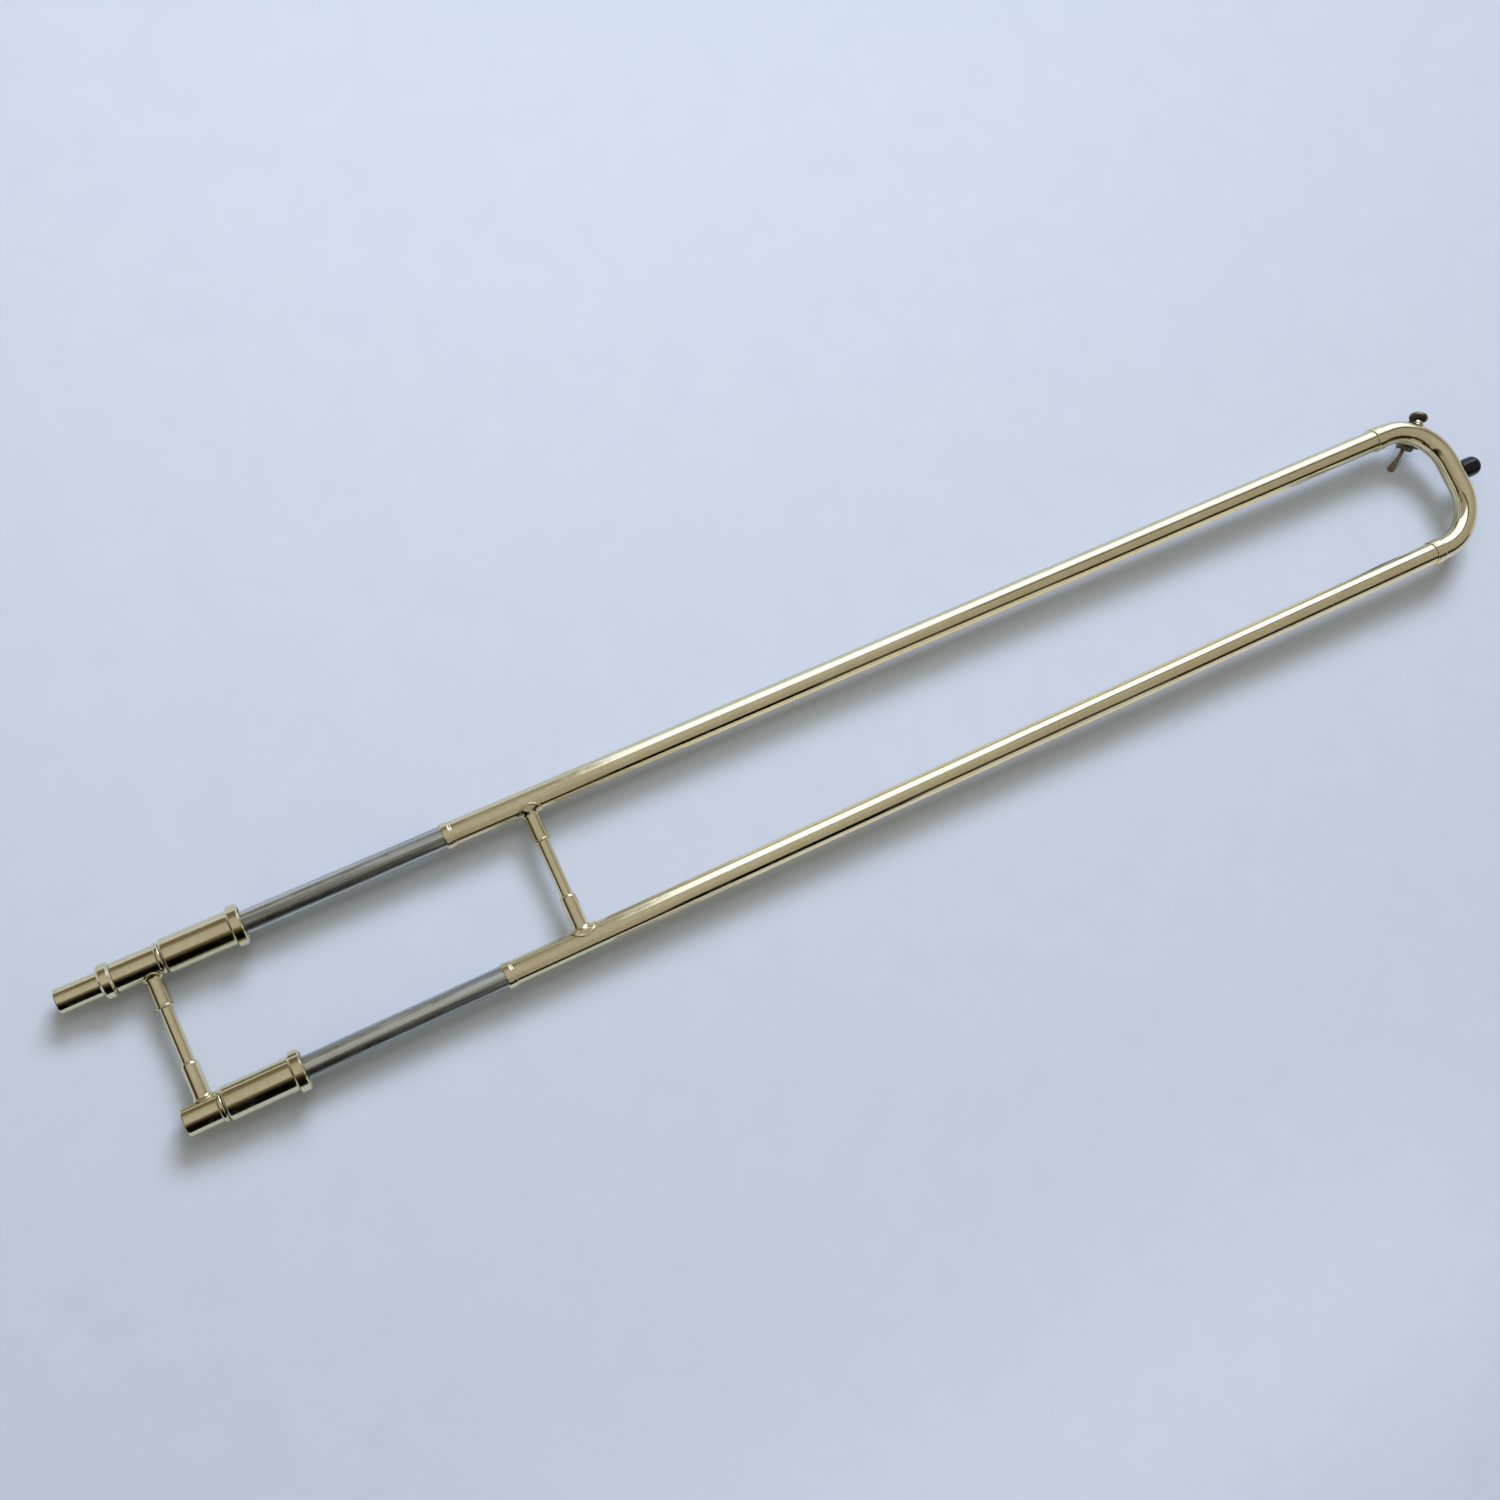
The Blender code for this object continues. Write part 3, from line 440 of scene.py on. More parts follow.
def skin(rings, loop=False, capped=False):
    """Skin rings of points in millimetres."""
    bm = bmesh.new()
    made = [[bm.verts.new(p * MM) for p in ring] for ring in rings]
    count = len(made[0])
    pairs = list(zip(made, made[1:]))
    if loop:
        pairs.append((made[-1], made[0]))
    for a, b in pairs:
        for i in range(count):
            j = (i + 1) % count
            bm.faces.new((a[i], a[j], b[j], b[i]))
    if capped:
        for ring, flip in ((made[0], False), (made[-1], True)):
            centre = Vector((0, 0, 0))
            for v in ring:
                centre += v.co
            hub = bm.verts.new(centre / count)
            for i in range(count):
                j = (i + 1) % count
                tri = (ring[i], hub, ring[j])
                bm.faces.new(tri if not flip else tuple(reversed(tri)))
    return bm


def helper(bm, matrix):
    """A temporary object for a Boolean or a join."""
    bmesh.ops.recalc_face_normals(bm, faces=bm.faces[:])
    mesh = bpy.data.meshes.new("helper")
    bm.to_mesh(mesh)
    bm.free()
    obj = bpy.data.objects.new("helper", mesh)
    bpy.context.scene.collection.objects.link(obj)
    obj.matrix_world = matrix
    return obj


def settle(obj):
    """Apply an object's modifiers to its mesh."""
    graph = bpy.context.evaluated_depsgraph_get()
    graph.update()
    mesh = bpy.data.meshes.new_from_object(obj.evaluated_get(graph))
    obj.modifiers.clear()
    mats = [m for m in obj.data.materials]
    obj.data = mesh
    mesh.materials.clear()
    for m in mats:
        mesh.materials.append(m)
    return obj


def carve(obj, cutters):
    for cutter in cutters:
        mod = obj.modifiers.new("cut", "BOOLEAN")
        mod.operation = "DIFFERENCE"
        mod.solver = "EXACT"
        mod.object = cutter
    bpy.context.view_layer.update()
    settle(obj)
    for cutter in cutters:
        bpy.data.objects.remove(cutter, do_unlink=True)
    return obj


def merged(parts, matrix, voxel, smooth):
    """Melt closed solids into one body with soft inner corners."""
    whole = bmesh.new()
    for bm, local in parts:
        bmesh.ops.recalc_face_normals(bm, faces=bm.faces[:])
        bm.transform(matrix.inverted() @ local)
        mesh = bpy.data.meshes.new("part")
        bm.to_mesh(mesh)
        bm.free()
        whole.from_mesh(mesh)
        bpy.data.meshes.remove(mesh)
    mesh = bpy.data.meshes.new("whole")
    whole.to_mesh(mesh)
    whole.free()
    obj = bpy.data.objects.new("whole", mesh)
    bpy.context.scene.collection.objects.link(obj)
    mod = obj.modifiers.new("melt", "REMESH")
    mod.mode = "VOXEL"
    mod.voxel_size = voxel * MM
    mod.adaptivity = 0.0
    mod = obj.modifiers.new("soften", "SMOOTH")
    mod.factor = 0.5
    mod.iterations = smooth
    settle(obj)
    out = bmesh.new()
    out.from_mesh(obj.data)
    old = obj.data
    bpy.data.objects.remove(obj, do_unlink=True)
    bpy.data.meshes.remove(old)
    return out


# ============================================================ tubes and rings
def lathe_piece(node, profile, mat, y=None, closed=True, radius=0.12,
                sides=SIDES, steps=3):
    bm = lathe(profile, sides, closed, radius, steps)
    return piece(node, bm, basis(at(0, y, 0), (1, 0, 0)), mat)


for number, (side, y) in enumerate((("upper", HALF), ("lower", -HALF))):
    upper = side == "upper"
    tube_brass = brass("brass_tube_" + side, 1 + number)
    ring_brass = brass("brass_ring_" + side, 5 + number, drawn=False)
    barrel_brass = brass("brass_barrel_" + side, 9 + number)
    plate = chrome("chrome_" + side, 1 + number)
    start = -70.2 if upper else -46.7
    lathe_piece(side + "_inner_tube",
                [(start, 6.15), (start, 6.40), (604.6, 6.40), (605.0, 6.30),
                 (605.0, 6.15)], plate, y, radius=0.08)
    lathe_piece(side + "_stocking",
                [(490.0, 6.43), (490.6, 6.50), (491.6, 6.55), (603.9, 6.55),
                 (604.4, 6.47), (604.4, 6.43)], plate, y,
                radius=0.05)
    # outer tube, with a rolled lip at its open end
    lathe_piece(side + "_outer_tube",
                [(109.5, 6.65), (109.5, 6.86), (110.2, 6.90), (745.5, 6.90),
                 (745.5, 6.65)], tube_brass, y, radius=0.06)
    lathe_piece(side + "_outer_end_ring",
                [(109.7, 6.93), (109.7, 7.38, 0.2), (110.0, 7.50, 0.2),
                 (113.3, 7.50, 0.5), (113.9, 7.34, 0.3), (114.9, 7.28, 0.3),
                 (115.1, 7.02, 0.1), (115.1, 6.93)], ring_brass, y,
                radius=0.05)
    # cork barrel: softly rounded shoulder, body, front edge
    lathe_piece(side + "_cork_barrel",
                [(-41.3, 6.45), (-41.3, 8.75, 0.3), (-40.75, 9.38, 0.5),
                 (-40.2, 9.45, 0.4), (-7.6, 9.45, 0.1), (-0.4, 9.45, 0.1),
                 (-0.4, 8.65, 0.1), (-40.4, 8.65), (-40.4, 6.45)],
                barrel_brass, y)
    flare = []
    for i in range(9):
        t = math.radians(-90 + 90 * i / 8)
        flare.append((-7.1 + 1.75 * math.cos(t),
                      11.25 + 1.72 * math.sin(t), 0.0))
    flare = [p for p in flare if p[1] > 9.56]
    lathe_piece(side + "_barrel_ring",
                [(-7.3, 9.48, 0.03), (-7.3, 9.56, 0.03)] + flare
                + [(-5.2, 11.30, 0.12), (-0.8, 11.30, 0.10),
                   (0.0, 10.62, 0.10), (0.0, 9.50, 0.08)],
                ring_brass, y, radius=0.08)
    tan = cork("barrel_cork_" + side, (0.56, 0.37, 0.20), (0.36, 0.22, 0.11),
               (0.10, 0.055, 0.03), 2 + number)
    lathe_piece(side + "_barrel_cork",
                [(-40.1, 6.70), (-40.1, 8.45), (-28.4, 8.45, 0.3),
                 (-27.8, 7.9, 0.3), (-27.8, 6.70)], tan, y,
                radius=0.2)
    # ferrule with a turned line near its edge on the tube side
    lathe_piece(side + "_crook_ferrule",
                [(743.4, 6.93), (743.4, 7.42, 0.15), (743.9, 7.70, 0.2),
                 (744.6, 7.70, 0.05), (744.8, 7.52, 0.05),
                 (745.1, 7.52, 0.05), (745.3, 7.70, 0.05),
                 (749.4, 7.70, 0.2), (750.0, 7.36, 0.15), (750.0, 6.93)],
                ring_brass, y, radius=0.06)
    # neck sleeve with its bead
    bead = [(-44.9, 8.00, 0.0), (-44.5, 8.10, 0.1), (-44.15, 8.52, 0.2),
            (-43.75, 8.70, 0.3), (-42.6, 8.70, 0.3), (-42.15, 8.45, 0.2),
            (-41.9, 8.00, 0.1)]
    if upper:
        lathe_piece("upper_neck_sleeve",
                    [(-66.8, 6.45), (-66.8, 8.00, 0.15)] + bead
                    + [(-41.9, 6.45)], barrel_brass, y)
    else:
        lathe_piece("lower_neck_sleeve",
                    [(-62.2, 7.02, 0.15), (-62.2, 7.85, 0.2),
                     (-61.6, 8.04, 0.25), (-60.6, 8.04, 0.3),
                     (-60.2, 8.00, 0.2)] + bead
                    + [(-41.9, 6.45), (-47.0, 6.45), (-47.0, 6.70)],
                    barrel_brass, y)

receiver = brass("brass_receiver", 13)
collar = brass("brass_collar", 14, drawn=False)
lathe_piece("mouthpiece_receiver",
            [(-95.4, 6.06, 0.15), (-95.4, 6.60, 0.12), (-95.0, 6.75, 0.12),
             (-93.6, 6.75, 0.2), (-93.2, 6.70, 0.2), (-70.5, 6.60),
             (-70.5, 5.55)], receiver, HALF)
lathe_piece("receiver_collar",
            [(-73.6, 6.68), (-73.6, 8.20, 0.15), (-72.3, 9.50, 0.14),
             (-68.4, 9.50, 0.14), (-67.1, 8.20, 0.15), (-67.1, 6.68)],
            collar, HALF)
pipe = [(-69.9, 6.07), (135.1, 6.07)]
for i in range(24, -1, -1):
    t = i / 24
    if t < 0.2:
        r = 4.35 + (5.35 - 4.35) * (1 - t / 0.2)
    else:
        r = 4.35 + (5.92 - 4.35) * (t - 0.2) / 0.8
    pipe.append((-69.9 + 205.0 * t, r, 0.0))
lathe_piece("leadpipe", pipe, brass("brass_leadpipe", 15), HALF,
            radius=0.04)


# ===================================================================== braces
SOCKET_SIDES = 72


def socket_piece(node, x, y, inward, tube_r, length, foot, mat, stepped):
    """Brace socket with a saddle foot wrapped on its tube.

    Local X points from the tube's axis along the rod.
    """
    foot_len, foot_half, rim = foot
    hx, hs = foot_len / 2, foot_half
    rings = []
    steps = range(SOCKET_SIDES)

    def wrapped(half_x, half_s, lift):
        ring = []
        for i in steps:
            t = 2 * math.pi * i / SOCKET_SIDES
            a = half_s * math.sin(t) / tube_r
            r = tube_r + lift
            ring.append(Vector((r * math.cos(a), half_x * math.cos(t),
                                r * math.sin(a))))
        rings.append(ring)

    def foot_ring(f, lift):
        wrapped(4.5 + (hx - 4.5) * f, 4.5 + (hs - 4.5) * f, lift)

    def wall(radius, lift):
        ring = []
        for i in steps:
            t = 2 * math.pi * i / SOCKET_SIDES
            c, s = radius * math.cos(t), radius * math.sin(t)
            ring.append(Vector((math.sqrt((tube_r + lift) ** 2 - s * s), c,
                                s)))
        rings.append(ring)

    def across(radius, out):
        rings.append([Vector((out, radius * math.cos(2 * math.pi * i
                                                     / SOCKET_SIDES),
                              radius * math.sin(2 * math.pi * i
                                                / SOCKET_SIDES)))
                      for i in steps])

    wrapped(3.5, 3.5, 0.03)
    foot_ring(0.3, 0.03)
    foot_ring(0.7, 0.03)
    foot_ring(0.96, 0.03)
    foot_ring(1.0, 0.06)
    size = min(hx - 4.5, hs - 4.5)
    e = 0.14 / max(size, 0.8)
    for f, lift in ((1.0, 0.14), (1.0 + e * 0.3, rim * 0.45),
                    (1.0, rim * 0.75), (1.0 - e * 1.2, rim * 0.96),
                    (1.0 - e * 2.6, rim * 1.04), (1.0 - e * 4.0, rim * 0.97),
                    (1.0 - e * 4.8, rim * 0.84), (1.0 - e * 5.2, rim * 0.74),
                    (1.0 - e * 6.2, rim * 0.72)):
        foot_ring(f, lift)
    base = rim * 0.72
    if 1.0 - e * 6.2 > 0.45:
        foot_ring(0.40, base + 0.03)
    wall(5.35, base + 0.10)
    wall(5.05, base + 0.24)
    wall(4.80, base + 0.50)
    wall(4.62, base + 0.90)
    wall(4.53, base + 1.40)
    wall(4.50, base + 2.0)
    gap_top = tube_r + 0.22 + length
    across(4.50, gap_top - 6.0)
    if stepped:
        for r, d in ((4.50, 1.75), (4.50, 1.55), (4.56, 1.42), (4.68, 1.30),
                     (4.75, 1.15), (4.76, 0.9), (4.76, 0.5), (4.73, 0.32),
                     (4.64, 0.14), (4.48, 0.03), (4.30, 0.0), (3.75, 0.0),
                     (3.60, 0.05), (3.50, 0.2)):
            across(r, gap_top - d)
    else:
        for r, d in ((4.50, 2.4), (4.50, 2.1), (4.47, 1.7), (4.40, 1.3),
                     (4.28, 0.9), (4.12, 0.55), (3.92, 0.26), (3.72, 0.08),
                     (3.60, 0.04), (3.52, 0.1), (3.50, 0.25)):
            across(r, gap_top - d)
    across(3.50, gap_top - 5.0)
    bm = skin(rings, loop=True)
    matrix = basis(at(x, y, 0), (0, inward, 0), (1, 0, 0))
    return piece(node, bm, matrix, mat)


for number, (prefix, x, tube_r, foot) in enumerate((
        ("hand_brace", -50.0, 8.0, (10.8, 6.2, 0.80)),
        ("slide_brace", 157.0, 6.9, (16.4, 9.2, 0.90)))):
    fitting = brass("brass_" + prefix, 20 + number, drawn=False)
    socket_piece(prefix + "_upper_socket", x, HALF, -1, tube_r, 16.0, foot,
                 fitting, True)
    socket_piece(prefix + "_lower_socket", x, -HALF, 1, tube_r, 19.0, foot,
                 fitting, False)
    top = HALF - (tube_r + 0.22 + 16.0) + 9.0
    bottom = -HALF + (tube_r + 0.22 + 19.0) - 9.0
    bm = lathe([(bottom, 0.0), (bottom, 3.25), (bottom + 0.2, 3.45),
                (top - 0.2, 3.45), (top, 3.25), (top, 0.0)], 72,
               closed=False)
    piece(prefix + "_rod", bm, basis(at(x, 0, 0), (0, 1, 0)),
          brass("brass_rod_" + prefix, 25 + number))


# ====================================================================== crook
BEND_R, STUB, SEAM = 33.0, 4.0, 750.0
APEX = SEAM + STUB + BEND_R


def u_section(x, y, a, radius, sides=72):
    n = Vector((math.sin(a), math.cos(a), 0))
    z = Vector((0, 0, 1))
    return [Vector((x, y, 0))
            + n * (radius * math.cos(2 * math.pi * i / sides))
            + z * (radius * math.sin(2 * math.pi * i / sides))
            for i in range(sides)]


def u_path(first):
    """Centreline of the U from `first` on the upper side to the lower."""
    x_c, y_c = SEAM + STUB, HALF - BEND_R
    path = [(first, HALF, 0.0), (first + 0.3, HALF, 0.0),
            (x_c - 1.2, HALF, 0.0)]
    for i in range(37):
        a = math.radians(90 * i / 36)
        path.append((x_c + BEND_R * math.sin(a), y_c + BEND_R * math.cos(a),
                     a))
    path.append((x_c + BEND_R, y_c - 1.0, math.pi / 2))
    path.append((x_c + BEND_R, 1.0 - y_c, math.pi / 2))
    for i in range(37):
        a = math.radians(90 + 90 * i / 36)
        path.append((x_c + BEND_R * math.sin(a),
                     -y_c + BEND_R * math.cos(a), a))
    path += [(x_c - 1.2, -HALF, math.pi), (first + 0.3, -HALF, math.pi),
             (first, -HALF, math.pi)]
    return path


def key_frame():
    a = math.radians(39.0)
    n = Vector((math.sin(a), math.cos(a), 0))
    t = Vector((math.cos(a), -math.sin(a), 0))
    p = Vector((SEAM + STUB + BEND_R * math.sin(a),
                HALF - BEND_R + BEND_R * math.cos(a), 0))
    return p, n, t


P, N, T = key_frame()
CUP_W = 1.2
PIVOT_U, PIVOT_W = -4.0, -10.5


def key_at(u, w):
    q = P + N * u
    return at(q.x, q.y, w)


rings = []
for x in (745.8, 745.9):
    rings.append(u_section(x, HALF, 0.0, 6.86 if x < 745.85 else 6.9))
rings.append(u_section(SEAM + 0.2, HALF, 0.0, 6.9))
rings.append(u_section(SEAM + 0.3, HALF, 0.0, 6.93))
rings.append(u_section(SEAM + 0.3, HALF, 0.0, 7.06))
rings.append(u_section(SEAM + 0.36, HALF, 0.0, 7.13))
for x, y, a in u_path(SEAM + 0.45):
    rings.append(u_section(x, y, a, 7.15))
rings.append(u_section(SEAM + 0.36, -HALF, math.pi, 7.13))
rings.append(u_section(SEAM + 0.3, -HALF, math.pi, 7.06))
rings.append(u_section(SEAM + 0.3, -HALF, math.pi, 6.93))
rings.append(u_section(SEAM + 0.2, -HALF, math.pi, 6.9))
rings.append(u_section(745.9, -HALF, math.pi, 6.9))
rings.append(u_section(745.8, -HALF, math.pi, 6.86))
for x, y, a in reversed(u_path(745.8)):
    rings.append(u_section(x, y, a, 6.65))
crook = piece("crook", skin(rings, loop=True), Matrix.Translation(at(0, 0, 0)),
              brass("brass_crook", 30, drawn=False))
hole = helper(lathe([(4.0, 0.0), (4.0, 1.7), (9.0, 1.7), (9.0, 0.0)], 48,
                    closed=False, radius=0.0),
              basis(key_at(0, CUP_W), N))
carve(crook, [hole])

# bumper: a brass stud on the crook, and a rubber tip whose base follows the
# crook and whose sides swell, step in and dome over
def saddle_ring(rings, radius, lift, sides=72):
    ring = []
    for i in range(sides):
        b = 2 * math.pi * i / sides
        y, z = radius * math.cos(b), radius * math.sin(b)
        ring.append(Vector((math.sqrt((7.15 + lift) ** 2 - z * z), y, z)))
    rings.append(ring)


def disc(rings, radius, out, sides=72):
    rings.append([Vector((7.15 + out,
                          radius * math.cos(2 * math.pi * i / sides),
                          radius * math.sin(2 * math.pi * i / sides)))
                  for i in range(sides)])


stud = []
for r, lift in ((0.8, 0.05), (2.3, 0.05), (2.55, 0.07), (2.6, 0.15)):
    saddle_ring(stud, r, lift)
for r, out in ((2.6, 1.0), (2.6, 5.9), (2.55, 6.3), (2.2, 6.8), (1.0, 6.85)):
    disc(stud, r, out)
piece("bumper_socket", skin(stud, capped=True),
      Matrix.Translation(at(APEX, 0, 0)),
      brass("brass_bumper_stud", 31, drawn=False))
rubber_rings = []
for r, out in ((0.8, 7.2), (2.7, 7.2), (2.88, 7.12), (2.9, 6.9), (2.9, 3.0)):
    disc(rubber_rings, r, out)
for r, lift in ((2.9, 0.5), (2.95, 0.33), (3.1, 0.3), (4.5, 0.3), (5.7, 0.3),
                (5.95, 0.33), (6.06, 0.45), (6.10, 0.8)):
    saddle_ring(rubber_rings, r, lift)
for r, out in ((6.16, 1.5), (6.24, 2.2), (6.31, 3.2), (6.34, 4.4),
               (6.35, 5.6), (6.34, 6.6)):
    disc(rubber_rings, r, out)
for i in range(15):
    t = math.radians(82 - 82 * i / 14)
    disc(rubber_rings, 1.15 + 5.2 * math.sin(t), 7.5 + 5.2 * math.cos(t))
disc(rubber_rings, 0.7, 12.69)
disc(rubber_rings, 0.35, 12.6)
piece("bumper_tip", skin(rubber_rings, capped=True),
      Matrix.Translation(at(APEX, 0, 0)), rubber("rubber_tip"),
      sharp=70)


# ================================================================== water key
pivot = key_at(PIVOT_U, PIVOT_W)
KEY = Matrix.Translation(pivot) @ Matrix((N, T, Vector((0, 0, 1)))) \
    .transposed().to_4x4()          # local axes: outward, along, up


def from_pivot(u, v, w):
    return Vector((u - PIVOT_U, v, w - PIVOT_W))


def smooth_path(stations, per=6):
    """Catmull-Rom through stations of equal length tuples."""
    out = []
    n = len(stations)
    for i in range(n - 1):
        p0 = stations[max(i - 1, 0)]
        p1, p2 = stations[i], stations[i + 1]
        p3 = stations[min(i + 2, n - 1)]
        for j in range(per):
            t = j / per
            out.append(tuple(
                0.5 * (2 * b + (c - a) * t + (2 * a - 5 * b + 4 * c - d)
                       * t * t + (3 * b - a - 3 * c + d) * t ** 3)
                for a, b, c, d in zip(p0, p1, p2, p3)))
    out.append(tuple(stations[-1]))
    return out


def bar_rings(stations, sides=32, power=3.2):
    rings = []
    for u, v0, w, direction, hw, ht in stations:
        d = math.radians(direction)
        ring = []
        for i in range(sides):
            t = 2 * math.pi * i / sides
            c, s = math.cos(t), math.sin(t)
            v = hw * math.copysign(abs(c) ** (2 / power), c)
            b = ht * math.copysign(abs(s) ** (2 / power), s)
            ring.append(from_pivot(u - math.sin(d) * b, v0 + v,
                                   w + math.cos(d) * b))
        rings.append(ring)
    return rings


lever_line = [(-20.1, -3.4, -17.55, 35, 1.55, 0.40),
              (-19.2, -3.4, -17.25, 28, 2.25, 0.58),
              (-16.8, -2.9, -16.05, 26, 2.4, 0.62),
              (-13.6, -2.1, -14.45, 26, 1.5, 0.75),
              (-8.8, -0.9, -12.2, 24, 1.25, 0.85),
              (-4.0, 0.0, -10.5, 15, 1.4, 1.0),
              (-1.0, 0.0, -10.35, 2, 1.45, 0.95),
              (3.0, 0.0, -10.1, 5, 1.5, 0.9),
              (7.5, 0.0, -9.3, 18, 1.55, 0.85),
              (11.2, 0.0, -7.4, 38, 1.6, 0.8),
              (13.6, 0.0, -4.6, 62, 1.7, 0.75),
              (14.6, 0.0, -1.6, 82, 2.0, 0.7),
              (14.9, 0.0, 1.2, 90, 2.0, 0.6)]
bar_bm = skin(bar_rings(smooth_path(lever_line)), capped=True)
hinge_at = basis(pivot, T)
hinge_bm = lathe([(-3.5, 0.0), (-3.5, 1.95, 0.15), (3.5, 1.95, 0.15),
                  (3.5, 0.0)], 64, closed=False)
cup_at = basis(key_at(0, CUP_W), N)
cup_bm = lathe([(12.35, 0.0), (12.35, 4.85), (10.8, 4.85, 0.08),
                (10.8, 5.65, 0.15), (11.6, 5.80, 0.4), (12.9, 5.55, 0.8),
                (14.0, 4.2, 0.8), (14.55, 2.4, 0.6), (14.6, 0.0)], 72,
               closed=False, radius=0.1)
lever = piece("water_key_lever",
              merged([(bar_bm, KEY), (hinge_bm, hinge_at), (cup_bm, cup_at)],
                     KEY, 0.16, 5),
              KEY, nickel("nickel_lever", 1), sharp=75)
carve(lever, [helper(lathe([(-8.0, 0.0), (-8.0, 0.98), (8.0, 0.98),
                            (8.0, 0.0)], 48, closed=False, radius=0.0),
                     hinge_at)])

# saddle: a curved foot under the crook, and two ears for the screw
centre_angle = math.atan2(PIVOT_W, PIVOT_U)
rings = []
x_c, y_c = SEAM + STUB, HALF - BEND_R
q = (P + N * PIVOT_U) + Vector((0, 0, PIVOT_W))
turn = KEY.to_3x3().inverted()
for k in range(25):
    f = 2 * k / 24 - 1
    a = math.radians(39.0) + math.radians(15.0) * f
    half = math.radians(30.0) * (0.35 + 0.65 * math.sqrt(
        max(0.0, 1 - (0.93 * f) ** 2)))
    nk = Vector((math.sin(a), math.cos(a), 0))
    ck = Vector((x_c, y_c, 0)) + nk * BEND_R
    inner, outer = [], []
    for i in range(17):
        b = centre_angle + half * (2 * i / 16 - 1)
        for radius, row in ((7.15 + 0.06, inner), (7.15 + 0.95, outer)):
            row.append(turn @ (ck + nk * (radius * math.cos(b))
                               + Vector((0, 0, radius * math.sin(b))) - q))
    rings.append(inner + list(reversed(outer)))
parts = [(skin(rings, capped=True), KEY)]
away = Vector((PIVOT_U, PIVOT_W)).normalized()
flank = Vector((-away.y, away.x))
reach = math.hypot(PIVOT_U, PIVOT_W)
for sign in (1, -1):
    outline = []
    for i in range(17):
        b = math.radians(90 - 11.25 * i)
        outline.append(away * (reach + 2.55 * math.cos(b))
                       + flank * (2.55 * math.sin(b)))
    outline.append(away * 7.7 - flank * 3.1)
    outline.append(away * 7.7 + flank * 3.1)
    rings = [[from_pivot(o.x, v, o.y) for o in outline]
             for v in (sign * 3.9, sign * 4.8)]
    parts.append((skin(rings, capped=True), KEY))
saddle = piece("water_key_saddle", merged(parts, KEY, 0.16, 4), KEY,
               nickel("nickel_saddle", 4), sharp=75)
carve(saddle, [helper(lathe([(-8.0, 0.0), (-8.0, 0.95), (8.0, 0.95),
                             (8.0, 0.0)], 48, closed=False, radius=0.0),
                      hinge_at)])

# pivot screw with a slotted head
screw = piece("water_key_pivot_screw",
              lathe([(-5.3, 0.0), (-5.3, 0.72, 0.08), (-5.1, 0.85, 0.08),
                     (5.0, 0.85), (5.0, 1.75, 0.08), (5.5, 1.75, 0.2),
                     (6.1, 1.25, 0.2), (6.1, 0.0)], 64, closed=False,
                    radius=0.05),
              hinge_at, steel("steel_screw", 1))
slot_bm = bmesh.new()
bmesh.ops.create_cube(slot_bm, size=1.0)
for v in slot_bm.verts:
    v.co = Vector(((5.85 + v.co.x * 0.7) * MM, v.co.y * 5.0 * MM,
                   v.co.z * 0.42 * MM))
carve(screw, [helper(slot_bm, hinge_at @ Matrix.Rotation(0.6, 4, "X"))])

piece("water_key_cork",
      lathe([(9.9, 0.0), (9.9, 4.5, 0.2), (10.15, 4.7, 0.2), (12.1, 4.7, 0.1),
             (12.1, 0.0)], 72, closed=False),
      cup_at, cork("key_cork", (0.085, 0.065, 0.045), (0.035, 0.026, 0.018),
                   (0.012, 0.009, 0.007), 7))

# nipple: a chimney whose flange follows the crook
rings = []


def nipple_ring(radius, lift, sides=64):
    ring = []
    for i in range(sides):
        b = 2 * math.pi * i / sides
        v, w = radius * math.cos(b), CUP_W + radius * math.sin(b)
        r = 7.15 + lift
        major = BEND_R + math.sqrt(r * r - w * w)
        ring.append(Vector((math.sqrt(major * major - v * v) - BEND_R, v,
                            w)))
    rings.append(ring)


def nipple_flat(radius, u, sides=64):
    rings.append([Vector((u, radius * math.cos(2 * math.pi * i / sides),
                          CUP_W + radius * math.sin(2 * math.pi * i
                                                    / sides)))
                  for i in range(sides)])


for r, lift in ((1.7, 0.04), (3.7, 0.04), (3.9, 0.10), (3.9, 0.30),
                (3.78, 0.46), (3.5, 0.56), (3.25, 0.74), (3.1, 1.05)):
    nipple_ring(r, lift)
for r, u in ((3.0, 9.0), (2.95, 9.35), (2.86, 9.53), (2.7, 9.6),
             (1.9, 9.6), (1.76, 9.55), (1.7, 9.4)):
    nipple_flat(r, u)
NIP = Matrix.Translation(key_at(0, 0)) @ KEY.to_3x3().to_4x4()
piece("water_key_nipple", skin(rings, loop=True), NIP,
      brass("brass_nipple", 33, drawn=False))

# spring: turns round the hinge tube with a leg at each end
wire, pitch = 0.28, 0.60
coil_r = 1.95 + 0.12 + wire
first, last = math.radians(185.0), math.radians(281.8 + 720.0)
turns = (last - first) / (2 * math.pi)
v_start, v_arm = 2.0, 1.98
v_end = v_start + pitch * turns


def on_coil(b):
    return Vector((math.cos(b), math.sin(b))) * coil_r


def along_coil(b):
    return Vector((-math.sin(b), math.cos(b)))


